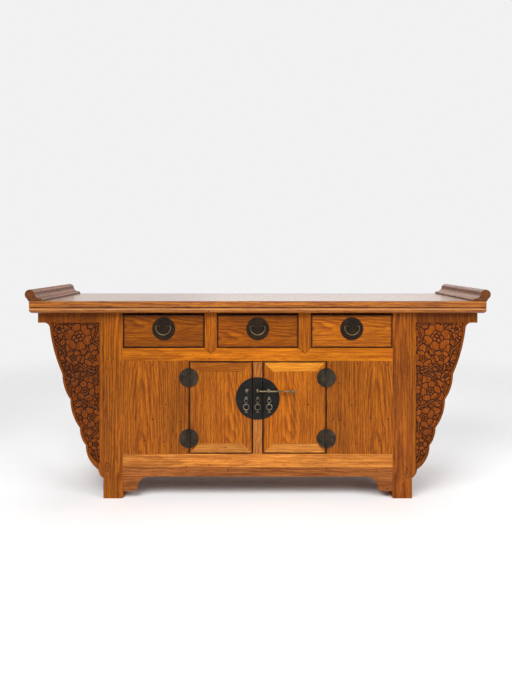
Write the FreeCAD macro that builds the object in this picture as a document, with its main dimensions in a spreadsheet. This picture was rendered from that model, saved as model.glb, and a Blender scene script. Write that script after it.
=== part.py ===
"""An altar cabinet: scroll-ended top, three drawers, two doors and a pin lock.

Sizes are millimetres.  The floor is z = 0, the front faces -Y and x = y = 0 is the middle of the
footprint.  Every size is a cell of the sheet "dims", and every piece is bound to those cells.
"""
import FreeCAD
import Part
import Sketcher
import os
import re

doc = FreeCAD.newDocument("altar_cabinet")
Vector = FreeCAD.Vector

SIZES = {
    # board of the top: a mitred frame with a moulded edge round a floating panel
    "top_length": 1866,
    "top_depth": 450,
    "top_height": 818,
    "top_thick": 50,
    "top_rail_width": 90,
    "edge_band": 24,
    "edge_groove": 4,
    "groove_deep": 1.6,
    "edge_round": 14,
    "edge_inset": 12,
    "edge_bulge": 3.5,
    "mitre_spare": 10,
    "panel_thick": 18,
    "panel_seam": 0.5,
    "batten_width": 50,
    "batten_thick": 24,
    "batten_pitch": 430,
    # scroll flange: a roll that leans out over the board's end, with a tail to the inside
    "roll_radius": 20,
    "roll_inset": 3,
    "roll_rise": 27,
    "roll_start": 20,
    "roll_stop": 235,
    "flange_foot": 2,
    "flange_base": 55,
    "neck_bulge": 5,
    "tail_start": 41,
    "tail_rise": 11,
    "tail_bulge": 4,
    "tail_toe": 2,
    # joinery
    "fit_gap": 0.2,
    "tongue_thick": 8,
    "tongue_reach": 8,
    "tongue_cover": 6,
    "tenon_thick": 14,
    "tenon_shoulder": 10,
    "rail_tenon": 45,
    "side_tenon": 20,
    "stub_tenon": 10,
    "leg_tenon": 30,
    "leg_tenon_rise": 25,
    # carcass
    "body_width": 1276,
    "front_overhang": 30,
    "back_overhang": 20,
    "leg_width": 80,
    "leg_depth": 60,
    "rail_depth": 45,
    "drawer_band": 147,
    "drawer_rail_height": 53,
    "bottom_rail_top": 183,
    "bottom_rail_height": 55,
    "upper_rail_height": 35,
    "side_rail_thick": 35,
    "side_inset": 8,
    "board_thick": 12,
    "floor_thick": 14,
    "floor_drop": 7,
    "front_panel_thick": 20,
    # drawer dividers, each with a pointed shoulder let into the drawer rail
    "divider_width": 50,
    "divider_depth": 40,
    "point_drop": 25,
    "point_depth": 14,
    # apron with a bracket at each leg
    "apron_thick": 22,
    "apron_inset": 2,
    "apron_height": 39,
    "bracket_drop": 99,
    "bracket_toe": 44,
    "toe_radius": 15,
    "cusp_rise": 9,
    "cusp_step": 2,
    "arch_width": 46,
    "arch_bulge": 10,
    # spandrels
    "spandrel_thick": 22,
    "spandrel_inset": 3,
    "spandrel_reach": 272,
    # its edge from the foot upward: a cusp's reach from the leg and drop from the top, and the bulge
    # of the lobe that follows
    "cusp0_reach": 0,
    "cusp0_drop": 686,
    "cusp0_bulge": 5,
    "cusp1_reach": 22,
    "cusp1_drop": 650,
    "cusp1_bulge": 14,
    "cusp2_reach": 74,
    "cusp2_drop": 550,
    "cusp2_bulge": 6.4,
    "cusp3_reach": 99,
    "cusp3_drop": 477,
    "cusp3_bulge": 10,
    "cusp4_reach": 138,
    "cusp4_drop": 360,
    "cusp4_bulge": 8.4,
    "cusp5_reach": 171,
    "cusp5_drop": 255,
    "cusp5_bulge": 7.3,
    "cusp6_reach": 223,
    "cusp6_drop": 66,
    "band_height": 42,
    "cove_radius": 24,
    "cove_bulge": 7,
    "rim_width": 9,
    "border_width": 17,
    "field_foot": 626,
    "carving_depth": 6,
    # drawers
    "runner_width": 90,
    "runner_thick": 20,
    "guide_height": 15,
    "guide_extra": 2,
    "run_gap": 0.3,
    "drawer_gap": 3,
    "drawer_lift": 3.5,
    "drawer_head_gap": 9.5,
    "drawer_front_thick": 20,
    "drawer_side_inset": 1,
    "drawer_side_thick": 12,
    "drawer_side_height": 105,
    "drawer_length": 300,
    "drawer_floor": 10,
    "drawer_floor_thick": 8,
    "drawer_groove": 5,
    # drawer handles
    "handle_radius": 47.5,
    "handle_rise": 10,
    "bail_span": 42,
    "bail_rise": 11.5,
    "bail_stand": 8.5,
    "bail_wire": 2.25,
    "bail_radius": 30.5,
    "bail_clear": 0.5,
    "bail_end": 6,
    "bail_post": 4,
    "bail_post_cap": 4.5,
    "collar_radius": 6.5,
    "collar_thick": 1.5,
    # doors and the post between them
    "door_width": 260,
    "door_gap": 3.5,
    "door_head_gap": 3,
    "door_thick": 22,
    "door_frame_width": 40,
    "door_panel_thick": 16,
    "post_width": 38,
    "post_depth": 32,
    "post_lift": 4,
    "post_tenon": 15,
    "post_tenon_width": 20,
    "post_stub": 3.5,
    # hinges: a disc split in two leaves
    "hinge_radius": 40,
    "hinge_foot": 62,
    "hinge_head": 66,
    "leaf_thick": 1.6,
    "leaf_clear": 0.7,
    "knuckle_radius": 4.5,
    "knuckle_length": 25,
    "knuckle_gap": 0.4,
    "hinge_pin": 2,
    "turning_gap": 0.1,
    # lock: a disc split in three, eyes for a sliding pin and eyes for the pulls
    "lock_rise": 38,
    "lock_radius": 87.5,
    "plate_thick": 2,
    "split_gap": 0.4,
    "eye_pitch": 45,
    "eye_rise": 34,
    "eye_stand": 11,
    "eye_radius": 8.5,
    "eye_hole": 5.2,
    "eye_thick": 5,
    "eye_shank": 2.2,
    "pull_pitch": 47.5,
    "pull_rise": 0.5,
    "pull_stand": 8,
    "pull_eye_radius": 5,
    "pull_eye_hole": 2.5,
    "pull_eye_thick": 4,
    "pull_loop": 7.5,
    "pull_wire": 1.3,
    "pull_thick": 3,
    "pull_neck": 5,
    "pull_drop": 34,
    "pull_ring": 14,
    "pull_ring_hole": 9,
    "pull_tail": 58,
    "pull_tail_width": 16,
    "pull_tail_notch": 4,
    # pin and its chain
    "pin_radius": 3.3,
    "pin_sag": 1.8,
    "pin_length": 140,
    "pin_ball": 8.5,
    "pin_clear": 2,
    "ball_seat": 1.5,
    "chain_shift": 4,
    "chain_eye": 3.8,
    "chain_eye_hole": 2.2,
    "chain_eye_thick": 1.4,
    "link_count": 21,
    "link_length": 12,
    "link_width": 7,
    "link_wire": 1.4,
    "link_play": 0.25,
}

sheet = doc.addObject("Spreadsheet::Sheet", "dims")
for row, (name, number) in enumerate(SIZES.items(), 1):
    sheet.set(f"A{row}", name)
    sheet.set(f"B{row}", str(number))
    sheet.setAlias(f"B{row}", name)
doc.recompute()

# Lines that many pieces share.
HALF = "(body_width/2)"
INNER = "(body_width/2 - leg_width)"
FACE = "(front_overhang - top_depth/2)"
REAR = "(top_depth/2 - back_overhang)"
UNDER = "(top_height - top_thick)"
DRAWER_RAIL_TOP = f"({UNDER} - drawer_band)"
DRAWER_RAIL_LOW = f"({DRAWER_RAIL_TOP} - drawer_rail_height)"
BOTTOM_RAIL_LOW = "(bottom_rail_top - bottom_rail_height)"
UPPER_RAIL_LOW = f"({UNDER} - upper_rail_height)"
DRAWER_HEIGHT = "(drawer_band - drawer_lift - drawer_head_gap)"
OPENING = f"((2*{INNER} - 2*divider_width)/3)"
DIVIDER = f"({OPENING}/2 + divider_width/2)"
DOOR_IN = "(post_width/2 + door_gap)"
DOOR_OUT = f"({DOOR_IN} + door_width)"
PANEL_EDGE = f"({DOOR_OUT} + door_gap)"
DOOR_LOW = "(bottom_rail_top + door_head_gap)"
DOOR_HIGH = f"({DRAWER_RAIL_LOW} - door_head_gap)"
HINGE_LOW = f"({DOOR_LOW} + hinge_foot)"
HINGE_HIGH = f"({DOOR_HIGH} - hinge_head)"
LOCK_Z = f"(({DOOR_LOW} + {DOOR_HIGH})/2 + lock_rise)"
SIDE_MIDDLE = f"({HALF} - side_inset - side_rail_thick/2)"
SIDES = ((-1, "left"), (1, "right"))
LAST_CUSP = 6

# Small metalwork is hammered and filed, so it has flat facets; what turns in a bore is round.
WIRE_FACETS = 8
RING_FACETS = 12
PULL_FACETS = 18
DISC_FACETS = 32
LOCK_FACETS = 48

nodes = {}
sockets = {}


def bound(text):
    """The expression with each size's name pointed at its cell."""
    return re.sub(r"[a-z]\w*", lambda word: f"dims.{word[0]}" if word[0] in SIZES else word[0], text)


def size(text):
    """The expression's number of millimetres."""
    return float(sheet.evalExpression(bound(text)))


def place(piece, x="0", y="0", z="0"):
    """Binds the place of a piece to the sheet."""
    for axis, text in zip("xyz", (x, y, z)):
        piece.setExpression(f"Placement.Base.{axis}", bound(text))
    return piece


def across(side, near, far):
    """The span in x from near to far, on the left (-1) or the right (1)."""
    if side > 0:
        return f"({near})", f"({far})"
    return f"-({far})", f"-({near})"


def about(middle, width):
    """The span of a width round its middle."""
    return f"({middle}) - ({width})/2", f"({middle}) + ({width})/2"


def block(label, x, y, z, grow="0"):
    """A box between three spans, grown on every side for a clearance."""
    box = doc.addObject("Part::Box", label)
    for field, (low, high) in zip(("Length", "Width", "Height"), (x, y, z)):
        box.setExpression(field, bound(f"({high}) - ({low}) + 2*({grow})"))
    return place(box, *(f"({low}) - ({grow})" for low, high in (x, y, z)))


def rod(label, axis, x, y, z, radius, length, facets=0):
    """A cylinder from a point along x, y or z, or a prism with its corners at the radius."""
    bar = doc.addObject("Part::Prism" if facets else "Part::Cylinder", label)
    turns = {"x": (Vector(0, 1, 0), 90), "y": (Vector(1, 0, 0), -90), "z": (Vector(0, 0, 1), 0)}
    turn = FreeCAD.Rotation(*turns[axis])
    if facets:
        bar.Polygon = facets
        turn = turn * FreeCAD.Rotation(Vector(0, 0, 1), 180 / facets)
    bar.Placement = FreeCAD.Placement(Vector(), turn)
    bar.setExpression("Circumradius" if facets else "Radius", bound(radius))
    bar.setExpression("Height", bound(length))
    return place(bar, x, y, z)


def clear_of(radius, facets):
    """Corner radius of a faceted bore whose flats clear a radius."""
    return f"(({radius})/cos(180/{facets}))"


def fuse(label, *pieces):
    """One solid from several."""
    joined = doc.addObject("Part::MultiFuse", label)
    joined.Shapes = list(pieces)
    joined.Refine = True
    return joined


def cut(label, base, *tools):
    """The base less the tools."""
    left = doc.addObject("Part::Cut", label)
    left.Base = base
    left.Tool = tools[0] if len(tools) == 1 else fuse(label + "_tools", *tools)
    left.Refine = True
    return left


def common(label, first, second):
    """What two solids share."""
    shared = doc.addObject("Part::Common", label)
    shared.Base = first
    shared.Tool = second
    return shared


def draw(sketch, points, closed=True):
    """An outline of lines and arcs through points, each point (x, y) or (x, y, bulge).

    The bulge lifts the stretch to the next point into an arc, to the right of its direction.
    """
    corners = [Vector(size(point[0]), size(point[1]), 0) for point in points]
    ends = []
    for number, point in enumerate(points if closed else points[:-1]):
        start = corners[number]
        stop = corners[(number + 1) % len(points)]
        if len(point) == 3:
            along = stop - start
            right = Vector(along.y, -along.x, 0).normalize()
            curve = Part.Arc(start, (start + stop) * 0.5 + right * size(point[2]), stop)
        else:
            curve = Part.LineSegment(start, stop)
        index = sketch.addGeometry(curve)
        ends.append((index, 1 if (sketch.getPoint(index, 1) - start).Length < 1e-6 else 2))
    if not closed:
        ends.append((ends[-1][0], 3 - ends[-1][1]))
    for number, point in enumerate(points):
        index, start = ends[number]
        for kind, text in zip(("DistanceX", "DistanceY"), point):
            rule = sketch.addConstraint(Sketcher.Constraint(kind, -1, 1, index, start, size(text)))
            sketch.setExpression(f"Constraints[{rule}]", bound(text))
        follower = (number + 1) % len(points)
        if closed or follower and follower < len(points) - 1:
            sketch.addConstraint(Sketcher.Constraint("Coincident", index, 3 - start, *ends[follower]))
        if len(point) == 3:
            spans = [f"(({after}) - ({before}))^2" for before, after in zip(point, points[follower][:2])]
            radius = f"(({' + '.join(spans)})/4 + ({point[2]})^2) / (2*abs({point[2]}))"
            rule = sketch.addConstraint(Sketcher.Constraint("Radius", index, size(radius)))
            sketch.setExpression(f"Constraints[{rule}]", bound(radius))


def sketch_on(body, plane, label, *outlines):
    """Closed outlines on one of a body's origin planes."""
    sketch = body.newObject("Sketcher::SketchObject", label)
    support = [feature for feature in body.Origin.OriginFeatures if feature.Role == plane]
    sketch.AttachmentSupport = [(support[0], "")]
    sketch.MapMode = "FlatFace"
    for points in outlines:
        draw(sketch, points)
    return sketch


def prism(label, plane, points, length, x="0", y="0", z="0", symmetric=False):
    """An outline padded square to its plane: to -Y from XZ, to +X from YZ, to +Z from XY."""
    body = doc.addObject("PartDesign::Body", label)
    pad = body.newObject("PartDesign::Pad", label + "_pad")
    pad.Profile = sketch_on(body, plane, label + "_outline", points)
    pad.SideType = "Symmetric" if symmetric else "One side"
    pad.setExpression("Length", bound(length))
    return place(body, x, y, z)


def add(node, piece, name=None):
    """Files a solid under its node; the name tells it apart where a node has several."""
    nodes.setdefault(node, {})[name or node] = piece
    return piece


def let_in(x, y, z, *hosts):
    """Sinks a socket with clearance into each host."""
    for host in hosts:
        sockets.setdefault(host, []).append(block(host + "_socket", x, y, z, "fit_gap"))


def tenon(host, x, y, z):
    """A tenon, with its socket in the host."""
    let_in(x, y, z, host)
    return block(host + "_tenon", x, y, z)


# Top.  Each frame member carries the moulded edge outside and the panel's groove inside, and is cut
# to a mitre at both ends.
def edge_profile(outer, inward):
    """Section of a frame member whose outer edge lies at a coordinate."""
    groove_high = "(top_height - tongue_cover + fit_gap)"
    groove_low = "(top_height - tongue_cover - tongue_thick - fit_gap)"
    groove_end = "(top_rail_width - tongue_reach - fit_gap)"
    steps = (
        ("0", "top_height"),
        ("0", "top_height - edge_band", "-groove_deep"),
        ("0", "top_height - edge_band - edge_groove"),
        ("0", f"{UNDER} + edge_round", "edge_bulge"),
        ("edge_inset", UNDER),
        ("top_rail_width", UNDER),
        ("top_rail_width", groove_low),
        (groove_end, groove_low),
        (groove_end, groove_high),
        ("top_rail_width", groove_high),
        ("top_rail_width", "top_height"),
    )
    return [
        (f"({outer}) + ({inward})*({step[0]})", step[1], *(f"({inward})*({bulge})" for bulge in step[2:]))
        for step in steps
    ]


def wedge(side, end, long_rail):
    """Corner to take off a long or a short frame member, along the mitre."""
    corner = (f"{side}*(top_length/2 + 2*mitre_spare)", f"{end}*(top_depth/2 + 2*mitre_spare)")
    inside = (f"{side}*(top_length/2 - top_rail_width - 2*mitre_spare)",
              f"{end}*(top_depth/2 - top_rail_width - 2*mitre_spare)")
    return [corner, inside, (corner[0], inside[1]) if long_rail else (inside[0], corner[1])]


def mitred(label, plane, section, length, wedges):
    """A frame member: its section run out past both ends, less the wedges."""
    body = prism(label, plane, section, f"{length} + 2*mitre_spare", symmetric=True)
    pocket = body.newObject("PartDesign::Pocket", label + "_mitres")
    pocket.Profile = sketch_on(body, "XY_Plane", label + "_wedges", *wedges)
    pocket.Type = "ThroughAll"
    pocket.Reversed = True
    return body


for end, name in ((-1, "front"), (1, "back")):
    section = edge_profile(f"{end}*top_depth/2", -end)
    wedges = [wedge(side, end, True) for side in (-1, 1)]
    add(f"top_{name}_rail", mitred(f"top_{name}_section", "YZ_Plane", section, "top_length", wedges))
for side, name in SIDES:
    section = edge_profile(f"{side}*top_length/2", -side)
    wedges = [wedge(side, end, False) for end in (-1, 1)]
    rail = mitred(f"top_{name}_section", "XZ_Plane", section, "top_depth", wedges)
    add("top_end_rails", rail, f"top_{name}_end")

panel = block("top_panel_board", about("0", "top_length - 2*top_rail_width - 2*panel_seam"),
              about("0", "top_depth - 2*top_rail_width - 2*panel_seam"),
              ("top_height - panel_thick", "top_height"))
tongue = block("top_panel_tongue", about("0", "top_length - 2*top_rail_width + 2*tongue_reach"),
               about("0", "top_depth - 2*top_rail_width + 2*tongue_reach"),
               ("top_height - tongue_cover - tongue_thick", "top_height - tongue_cover"))
add("top_panel", fuse("top_panel_joined", panel, tongue))

BATTEN_LOW = "(top_height - panel_thick - batten_thick)"
for place_x, name in ((-1, "left"), (0, "middle"), (1, "right")):
    middle = f"{place_x}*batten_pitch"
    board = block(f"{name}_batten", about(middle, "batten_width"),
                  about("0", "top_depth - 2*top_rail_width"), (BATTEN_LOW, "top_height - panel_thick"))
    ends = []
    for end, host in ((-1, "top_front_rail"), (1, "top_back_rail")):
        reach = across(end, "top_depth/2 - top_rail_width", "top_depth/2 - top_rail_width + stub_tenon")
        ends.append(tenon(host, about(middle, "batten_width - 2*tenon_shoulder"), reach,
                          about(f"{BATTEN_LOW} + batten_thick/2", "tongue_thick")))
    add("top_battens", fuse(f"{name}_batten_joined", board, *ends), f"{name}_batten")


# Scroll flanges.  The section is a roll with a hollow neck and a rounded tail, run from front to back.
for side, name in SIDES:
    def inward(distance):
        return f"{side}*(top_length/2 - ({distance}))"

    roll = [(inward(f"roll_inset + roll_radius*cos({angle})"),
             f"top_height + roll_rise + roll_radius*sin({angle})") for angle in ("roll_start", "roll_stop")]
    sweep = f"{side}*roll_radius*(1 - cos((roll_stop - roll_start)/2))"
    section = [
        (inward("flange_base"), "top_height"),
        (inward("flange_base"), "top_height + tail_toe", f"{side}*tail_bulge"),
        (inward("tail_start"), "top_height + tail_rise", f"-{side}*neck_bulge"),
        (*roll[0], sweep),
        roll[1],
        (inward("-flange_foot"), "top_height"),
    ]
    section = [(x, z, *(f"-({bulge})" for bulge in rest)) for x, z, *rest in section]
    add(f"{name}_scroll_flange", prism(f"{name}_scroll", "XZ_Plane", section, "top_depth", symmetric=True))


# Legs, square to the floor, each with a tenon up into the frame of the top.
for side, name in SIDES:
    for row, near, host in (("front", FACE, "top_front_rail"),
                            ("back", f"({REAR} - leg_depth)", "top_back_rail")):
        post = block(f"{row}_{name}_post", across(side, INNER, HALF), (near, f"{near} + leg_depth"),
                     ("0", UNDER))
        stub = tenon(host, about(f"{side}*({HALF} - leg_width/2)", "leg_tenon"),
                     about(f"{near} + leg_depth/2", "leg_tenon"), (UNDER, f"{UNDER} + leg_tenon_rise"))
        add(f"{row}_{name}_leg", fuse(f"{row}_{name}_leg_joined", post, stub))


# Spandrels under the overhang, outside the legs.  The lower edge is a run of lobes between cusps, and
# the front pair has a sunk field for the carving.
def spandrel_outline(side, inset, foot):
    """The edge, or the field at an inset from it when the foot is given."""
    def at(reach, drop):
        return f"{side}*({HALF} + {reach})", f"{UNDER} - {drop}"

    lobes = []
    for number in range(LAST_CUSP):
        lobes.append((*at(f"(cusp{number}_reach - {inset})", f"cusp{number}_drop"),
                      f"{side}*cusp{number}_bulge"))
    crest = f"cusp{LAST_CUSP}_reach"
    crest_drop = f"cusp{LAST_CUSP}_drop"
    if foot:
        lobes[:2] = [(*at("border_width", "field_foot"), f"{side}*cusp1_bulge")]
        return [
            at("border_width", "band_height"),
            *lobes,
            (*at(f"({crest} - {inset})", crest_drop), f"-{side}*(rim_width/4)"),
            at(f"({crest} - {inset}/2)", "(band_height + rim_width/4)"),
            at(f"({crest} - {inset})", "band_height"),
        ]
    return [
        at("0", "0"),
        *lobes,
        (*at(crest, crest_drop), f"-{side}*cove_bulge"),
        at(f"({crest} + cove_radius)", "band_height"),
        at("spandrel_reach", "band_height"),
        at("spandrel_reach", "0"),
    ]


for side, name in SIDES:
    for row, near in (("front", f"({FACE} + spandrel_inset)"),
                      ("back", f"({REAR} - spandrel_inset - spandrel_thick)")):
        label = f"{name}_{row}_spandrel"
        board = prism(label + "_board", "XZ_Plane", spandrel_outline(side, "0", False), "spandrel_thick",
                      y=f"{near} + spandrel_thick")
        edge = tenon(f"{row}_{name}_leg", across(side, f"{HALF} - tongue_reach", HALF),
                     about(f"{near} + spandrel_thick/2", "tongue_thick"),
                     (f"{UNDER} - cusp1_drop", UNDER))
        board = fuse(label + "_joined", board, edge)
        if row == "front":
            field = prism(label + "_field", "XZ_Plane", spandrel_outline(side, "rim_width", True),
                          "carving_depth + 1", y=f"{near} + carving_depth")
            add("carved_spandrels", cut(label + "_sunk", board, field), label)
        else:
            add("back_spandrels", board, label)


# Rails between the legs, front and back, with a tenon into each leg.
def cross_rail(node, label, row, low, high):
    """A rail flush with the front or the back of the legs."""
    near = FACE if row == "front" else f"({REAR} - rail_depth)"
    bar = block(label + "_bar", about("0", f"2*{INNER}"), (near, f"{near} + rail_depth"), (low, high))
    ends = [tenon(f"{row}_{name}_leg", across(side, INNER, f"{INNER} + rail_tenon"),
                  about(f"{near} + rail_depth/2", "tenon_thick"),
                  (f"{low} + tenon_shoulder", f"{high} - tenon_shoulder")) for side, name in SIDES]
    add(node, fuse(label + "_joined", bar, *ends), label)


cross_rail("drawer_rail", "drawer_rail", "front", DRAWER_RAIL_LOW, DRAWER_RAIL_TOP)
cross_rail("bottom_rail", "bottom_rail", "front", BOTTOM_RAIL_LOW, "bottom_rail_top")
cross_rail("back_rails", "back_middle_rail", "back", DRAWER_RAIL_LOW, DRAWER_RAIL_TOP)
cross_rail("back_rails", "back_bottom_rail", "back", BOTTOM_RAIL_LOW, "bottom_rail_top")
cross_rail("back_rails", "back_upper_rail", "back", UPPER_RAIL_LOW, UNDER)

# Side rails and the panels grooved into them and into the legs.
for side, name in SIDES:
    for level, low, high in (("bottom", BOTTOM_RAIL_LOW, "bottom_rail_top"),
                             ("upper", UPPER_RAIL_LOW, UNDER)):
        label = f"{name}_{level}_side_rail"
        wide = about(f"{side}*{SIDE_MIDDLE}", "side_rail_thick")
        near = f"({FACE} + leg_depth)"
        far = f"({REAR} - leg_depth)"
        bar = block(label + "_bar", wide, (near, far), (low, high))
        thin = about(f"{side}*{SIDE_MIDDLE}", "tenon_thick")
        tall = (f"{low} + tenon_shoulder", f"{high} - tenon_shoulder")
        ends = [
            tenon(f"front_{name}_leg", thin, (f"{near} - side_tenon", near), tall),
            tenon(f"back_{name}_leg", thin, (far, f"{far} + side_tenon"), tall),
        ]
        add("side_rails", fuse(label + "_joined", bar, *ends), label)
    spans = (about(f"{side}*{SIDE_MIDDLE}", "board_thick"),
             (f"{FACE} + leg_depth - tongue_reach", f"{REAR} - leg_depth + tongue_reach"),
             ("bottom_rail_top - tongue_reach", f"{UPPER_RAIL_LOW} + tongue_reach"))
    add("side_panels", block(f"{name}_side_board", *spans), f"{name}_side_panel")
    let_in(*spans, f"front_{name}_leg", f"back_{name}_leg", f"{name}_bottom_side_rail",
           f"{name}_upper_side_rail")

# Back panels, above and below the middle rail.
for label, low, high, low_rail, high_rail in (
    ("lower_back_panel", "bottom_rail_top", DRAWER_RAIL_LOW, "back_bottom_rail", "back_middle_rail"),
    ("upper_back_panel", DRAWER_RAIL_TOP, UPPER_RAIL_LOW, "back_middle_rail", "back_upper_rail"),
):
    spans = (about("0", f"2*({INNER} + tongue_reach)"), about(f"{REAR} - rail_depth/2", "board_thick"),
             (f"{low} - tongue_reach", f"{high} + tongue_reach"))
    add("back_panels", block(label + "_board", *spans), label)
    let_in(*spans, "back_left_leg", "back_right_leg", low_rail, high_rail)

# Cupboard floor in the grooves of the four bottom rails, notched round the legs.
spans = (about("0", f"2*({SIDE_MIDDLE} - side_rail_thick/2 + tongue_reach)"),
         (f"{FACE} + rail_depth - tongue_reach", f"{REAR} - rail_depth + tongue_reach"),
         ("bottom_rail_top - floor_drop - floor_thick", "bottom_rail_top - floor_drop"))
notches = [block("floor_notch", across(side, INNER, HALF), deep, spans[2], "fit_gap") for side, name in SIDES
           for deep in ((FACE, f"{FACE} + leg_depth"), (f"{REAR} - leg_depth", REAR))]
add("floor_board", cut("floor_notched", block("floor_plank", *spans), *notches))
let_in(*spans, "bottom_rail", "back_bottom_rail", "left_bottom_side_rail", "right_bottom_side_rail")

# Apron under the bottom rail: level along the middle, with a rounded bracket at each leg.
TOE = f"({BOTTOM_RAIL_LOW} - bracket_drop)"
edge = [
    (INNER, BOTTOM_RAIL_LOW),
    (INNER, TOE),
    (f"{INNER} - bracket_toe", TOE, "toe_radius*0.29"),
    (f"{INNER} - bracket_toe - toe_radius", f"{TOE} + toe_radius"),
    (f"{INNER} - bracket_toe - toe_radius", f"{TOE} + toe_radius + cusp_rise"),
    (f"{INNER} - bracket_toe - toe_radius - cusp_step", f"{TOE} + toe_radius + cusp_rise", "-arch_bulge"),
    (f"{INNER} - bracket_toe - toe_radius - cusp_step - arch_width", f"{BOTTOM_RAIL_LOW} - apron_height"),
]
# The half outline runs clockwise from the right leg, and its mirror closes it on the left.
right_half = [(x, z, *(f"({bulge})*-1" for bulge in rest)) for x, z, *rest in edge]
left_half = []
for number in range(len(edge) - 1, -1, -1):
    bulge = right_half[number - 1][2:] if number else ()
    left_half.append((f"-({edge[number][0]})", edge[number][1], *bulge))
apron = prism("apron_board", "XZ_Plane", right_half + left_half, "apron_thick",
              y=f"{FACE} + apron_inset + apron_thick")
ends = [tenon(f"front_{name}_leg", across(side, INNER, f"{INNER} + tongue_reach"),
              about(f"{FACE} + apron_inset + apron_thick/2", "tongue_thick"),
              (f"{TOE} + tenon_shoulder", f"{BOTTOM_RAIL_LOW} - tenon_shoulder")) for side, name in SIDES]
add("apron", fuse("apron_joined", apron, *ends))

# Drawer dividers.  The pointed shoulder shows on the drawer rail, with a tenon behind it.
for side, name in SIDES:
    middle = f"{side}*{DIVIDER}"
    label = f"{name}_divider"
    left, right = about(middle, "divider_width")
    shield = prism(label + "_shield", "XZ_Plane",
                   [(left, UNDER), (left, DRAWER_RAIL_TOP), (middle, f"{DRAWER_RAIL_TOP} - point_drop"),
                    (right, DRAWER_RAIL_TOP), (right, UNDER)],
                   "point_depth", y=f"{FACE} + point_depth")
    back = block(label + "_back", (left, right), (f"{FACE} + point_depth", f"{FACE} + divider_depth"),
                 (DRAWER_RAIL_TOP, UNDER))
    deep = (f"{FACE} + point_depth + tongue_cover", f"{FACE} + divider_depth - tongue_cover")
    thin = about(middle, "divider_width - 3*tenon_shoulder")
    stubs = [tenon("drawer_rail", thin, deep, (f"{DRAWER_RAIL_TOP} - 2*stub_tenon", DRAWER_RAIL_TOP)),
             tenon("top_front_rail", thin, deep, (UNDER, f"{UNDER} + stub_tenon"))]
    add("drawer_dividers", fuse(label + "_joined", shield, back, *stubs), label)
    notch = prism(label + "_notch", "XZ_Plane",
                  [(f"{left} - 1 - fit_gap*1.5", f"{DRAWER_RAIL_TOP} + 1"),
                   (middle, f"{DRAWER_RAIL_TOP} - point_drop - fit_gap*1.5"),
                   (f"{right} + 1 + fit_gap*1.5", f"{DRAWER_RAIL_TOP} + 1")],
                  "point_depth + fit_gap + 1", y=f"{FACE} + point_depth + fit_gap")
    sockets.setdefault("drawer_rail", []).append(notch)

# Fixed front panels, flush with the face and tongued into the leg and both rails.
for side, name in SIDES:
    flush = block(f"{name}_fixed_board", across(side, PANEL_EDGE, INNER),
                  (FACE, f"{FACE} + front_panel_thick"), ("bottom_rail_top", DRAWER_RAIL_LOW))
    spans = (across(side, PANEL_EDGE, f"{INNER} + tongue_reach"),
             (f"{FACE} + tongue_cover", f"{FACE} + tongue_cover + tongue_thick"),
             ("bottom_rail_top - tongue_reach", f"{DRAWER_RAIL_LOW} + tongue_reach"))
    add(f"{name}_fixed_panel", fuse(f"{name}_fixed_joined", flush, block(f"{name}_fixed_tongue", *spans)))
    let_in(*spans, "drawer_rail", "bottom_rail", f"front_{name}_leg")

# Drawer runners from the drawer rail to the back rail, with a guide that keeps each drawer straight.
RUN = (f"{FACE} + rail_depth", f"{REAR} - rail_depth")
RUNNER_LOW = f"({DRAWER_RAIL_TOP} - runner_thick)"
GUIDE_TOP = f"({DRAWER_RAIL_TOP} + guide_height)"


def runner_ends(middle, width):
    """Stub tenons into the drawer rail and the back rail."""
    tall = about(f"{RUNNER_LOW} + runner_thick/2", "tongue_thick")
    return [
        tenon("drawer_rail", about(middle, width), (f"{RUN[0]} - tongue_reach", RUN[0]), tall),
        tenon("back_middle_rail", about(middle, width), (RUN[1], f"{RUN[1]} + tongue_reach"), tall),
    ]


for side, name in SIDES:
    middle = f"{side}*{DIVIDER}"
    wide = about(middle, "runner_width")
    thin = about(middle, "divider_width + 2*guide_extra")
    section = [(wide[0], RUNNER_LOW), (wide[1], RUNNER_LOW), (wide[1], DRAWER_RAIL_TOP),
               (thin[1], DRAWER_RAIL_TOP), (thin[1], GUIDE_TOP), (thin[0], GUIDE_TOP),
               (thin[0], DRAWER_RAIL_TOP), (wide[0], DRAWER_RAIL_TOP)]
    shared = prism(f"{name}_shared_section", "XZ_Plane", section, f"({RUN[1]}) - ({RUN[0]})", y=RUN[1])
    add("drawer_runners", fuse(f"{name}_shared_joined", shared, *runner_ends(middle, "divider_width")),
        f"{name}_shared_runner")
    ledge = block(f"{name}_outer_ledge", across(side, f"{INNER} - runner_width/2", INNER), RUN,
                  (RUNNER_LOW, DRAWER_RAIL_TOP))
    fence = block(f"{name}_outer_fence",
                  across(side, f"{INNER} - guide_extra", f"{SIDE_MIDDLE} - board_thick/2"),
                  (f"{FACE} + leg_depth", f"{REAR} - leg_depth"), (RUNNER_LOW, GUIDE_TOP))
    add("drawer_runners", fuse(f"{name}_outer_joined", ledge, fence,
                               *runner_ends(f"{side}*({INNER} - runner_width/4)", "runner_width/4")),
        f"{name}_outer_runner")

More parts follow.
